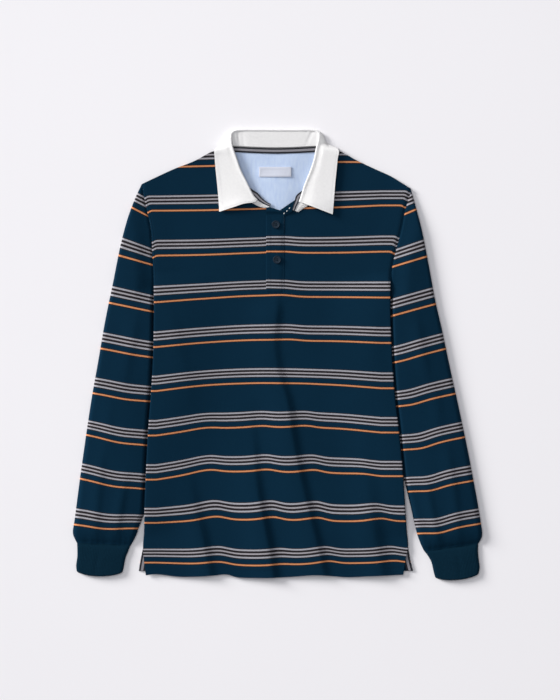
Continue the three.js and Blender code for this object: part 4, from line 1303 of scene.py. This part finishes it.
def fall_grid(steps, across):
    """The fall's outer face. Across, it runs from the fold line out to its edge: pressed down on
    the shirt where behind is 0, and folded down behind the neck where it is 1. Each front edge
    stands a little off the shirt in its middle."""
    count = len(FALL_EDGES)
    rows = rows_at(steps, np.hstack([STAND_STATIONS[2:-2, 2:], FALL_EDGES]))
    roll, z, behind, edge = rows[:, :2], rows[:, 2:3], np.clip(rows[:, 3:4], 0, 1), rows[:, 4:7]
    out = outward_of(roll)

    def step(distance, height):
        return np.hstack([roll + out * distance, height + 0 * z])

    def to_edge(t, drop):
        return np.hstack([mix(roll, edge[:, :2], t), mix(z, edge[:, 2:], drop)])

    on_shirt = np.stack([step(0, z - 1.3), step(1.3, z), step(6, z - 0.7), to_edge(0.35, 0.42),
                         to_edge(0.6, 0.68), to_edge(0.82, 0.88), to_edge(1, 1)])
    swell = 4 * FALL_TURN * behind * (1 - behind)
    folded = np.stack([step(-3, z - 0.7), step(-1, z), step(0.3 * swell, z - 1.8), step(swell - 1.2, z * 0.5),
                       step(swell - 3.4, 1.8), step(swell - 7, 0), np.hstack([edge[:, :2], 0 * z])])
    control = mix(on_shirt, folded, behind[None])
    knots = np.array([0, 0.06, 0.16, 0.38, 0.62, 0.83, 1.0])
    grid = curve(across, knots, control).transpose(1, 0, 2)
    left_end, right_end = np.exp(-(steps / 1.3) ** 2), np.exp(-((count - 1 - steps) / 1.3) ** 2)
    lifted = (4.2 * left_end + 3.0 * right_end)[:, None] * np.sin(np.pi * np.clip(across * 0.95, 0, 1)) ** 0.8
    grid[..., 2] = np.maximum(grid[..., 2] + lifted, 0.05)
    return grid


def make_fall():
    """The fall is its outer face and a wall behind it. Behind the neck its inner edge is pressed
    thin."""
    steps = np.linspace(0, len(FALL_EDGES) - 1, 300)
    across = np.linspace(0, 1, 60)
    grid = fall_grid(steps, across)
    length = length_along(grid[:, 0])[:, None]
    cloth = np.stack([length + 0 * across, FALL_DEPTH * across + 0 * length], -1)
    behind = np.clip(rows_at(steps, STAND_STATIONS[2:-2, 5:6]), 0, 1)
    lip = smooth(1 - across[None] / 0.09) * behind
    inner = grid - (WOVEN * (1 - 0.65 * lip))[..., None] * grid_normals(grid, -1)
    fall = wall_piece("fall_twill", grid, inner, cloth, white_twill, flip=-1)
    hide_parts("collar_fall")


make_stand()
make_fall()

# ---- Stitching ----------------------------------------------------------------------------
# Lockstitched seams and topstitching, sewn in cotton thread: navy on the jersey, dark along the
# neck tape, and white on the facing, the label, the collar and the turned-out band.

thread_white = grained_material("thread_white", 0.5, THREAD_GRAIN, (0.70, 0.70, 0.70),
                                (0.88, 0.88, 0.88), Sheen_Weight=0.2)
thread_dark = grained_material("thread_dark", 0.6, THREAD_GRAIN, (0.006, 0.006, 0.009),
                               (0.018, 0.018, 0.024))
STITCH_PITCH = 2.5  # mm from one stitch to the next, but for the finer seams
FINE_PITCH = 2.2
LABEL_PITCH = 1.6
STITCH_SHARE = 0.7  # of a pitch that shows as thread
HEM_DEPTH = 14.0  # mm from the hem's foot up to its stitches
HEM_STITCHES_AT = -361.0  # y at which their height is read


def sewn_line(x, y, height, pitch=STITCH_PITCH):
    """Cuts a line into stitches: each starts one pitch on from the last. Gives their starts and
    ends."""
    path = np.stack(np.broadcast_arrays(x, y, height), -1).astype(float)
    length = length_along(path)
    begin = np.arange(0, length[-1] - pitch, pitch)
    return straight_at(begin, length, path), straight_at(begin + STITCH_SHARE * pitch, length, path)


def sew(name, lines, radius, material):
    """Joins the stitches of several lines in one piece."""
    starts, ends = np.vstack([line[0] for line in lines]), np.vstack([line[1] for line in lines])
    tube_mesh(name, starts, ends, 0.22, radius, material)


def sew_jersey():
    """The hem, the placket's two edges and its foot, and both armholes."""
    x = np.linspace(-222, 212, 300)
    lines = [sewn_line(x, hem_foot(x) + HEM_DEPTH, front_top(x, HEM_STITCHES_AT + 0 * x))]
    y = np.linspace(PLACKET_FOOT + 2, PLACKET_TOP - 1, 120)
    for line_x in (PLACKET_LEFT + FREE_STITCHES + 0 * y, PLACKET_RIGHT - 1.5 + 0 * y):
        lines.append(sewn_line(line_x, y, upper_band_top(line_x, y)))
    foot_x = np.linspace(PLACKET_LEFT + 2, PLACKET_RIGHT - 1.5, 30)
    foot_y = PLACKET_FOOT + 1.5 + 0 * foot_x
    lines.append(sewn_line(foot_x, foot_y, upper_band_top(foot_x, foot_y)))
    y = np.linspace(122, 284, 120)
    for edge, inward in ((left_edge(y), 1), (right_edge(y), -1)):
        lines.append(sewn_line(edge + 3.2 * inward, y, front_top(edge + 3.2 * inward, y)))
    sew("jersey_stitches", lines, 0.24, thread_navy)


def sew_neck():
    """The facing's curved edge, the label's two ends and both edges of the neck tape."""
    def facing_face(x, y, lift):
        return body_rise(x, y) + lift + LIGHT_WALL + ridges(x, y, FACING_RISE)

    turn = np.linspace(-0.46, 0.46, 240) * np.pi
    x = NECK_MIDDLE + (FACING_HALF - 3) * np.sin(turn)
    y = FACING_SHOULDER - (FACING_DROP - 3.5) * np.cos(turn)
    lines = [sewn_line(x, y, facing_face(x, y, FACING_LIFT) + 0.2)]
    v = np.linspace(-0.42, 0.42, 30)
    for side in (-1, 1):
        x, y = LABEL["x"] + side * (0.5 * LABEL["width"] - 1.6) + 0 * v, LABEL["y"] + LABEL["height"] * v
        lines.append(sewn_line(x, y, facing_face(x, y, TAPE_LIFT) + 0.25, LABEL_PITCH))
    sew("facing_stitches", lines, 0.2, thread_white)
    x = np.linspace(-78, 70, 240)
    lines = []
    for below in (1.9, TAPE_WIDTH - 0.6):
        y = np.interp(x, STAND_STATIONS[8:17, 0], STAND_STATIONS[8:17, 1]) - below
        lines.append(sewn_line(x, y, body_rise(x, y) + TAPE_LIFT + LIGHT_WALL + 0.1, FINE_PITCH))
    sew("tape_stitches", lines, 0.18, thread_dark)


def sew_collar():
    """A line along the fall's front and side edges, and three bar tacks on the turned-out band."""
    lines = []
    steps = np.linspace(0.35, 7.2, 160)
    for at in (steps, len(FALL_EDGES) - 1 - steps):
        edge = fall_grid(at, np.array([0.9]))[:, 0]
        lines.append(sewn_line(*edge.T[:2], edge[:, 2] + 0.05, FINE_PITCH))
    across = np.linspace(0.04, 0.9, 60)
    for at in (0.35, len(FALL_EDGES) - 1.35):
        front = fall_grid(np.array([at, at + 0.01]), across)[0]
        lines.append(sewn_line(*front.T[:2], front[:, 2] + 0.05, FINE_PITCH))
    sew("collar_stitches", lines, 0.17, thread_white)
    tacks = np.array([(11.3, 240.4), (16.0, 244.4), (20.4, 249.2)])
    lean = np.array([0.9, 1.2])
    heights = upper_band_top(tacks[:, 0], tacks[:, 1])[:, None]
    starts, ends = np.hstack([tacks - lean, heights]), np.hstack([tacks + lean, heights])
    tube_mesh("band_tacks", starts, ends, 0.3, 0.7, thread_white)


sew_jersey()
sew_neck()
sew_collar()
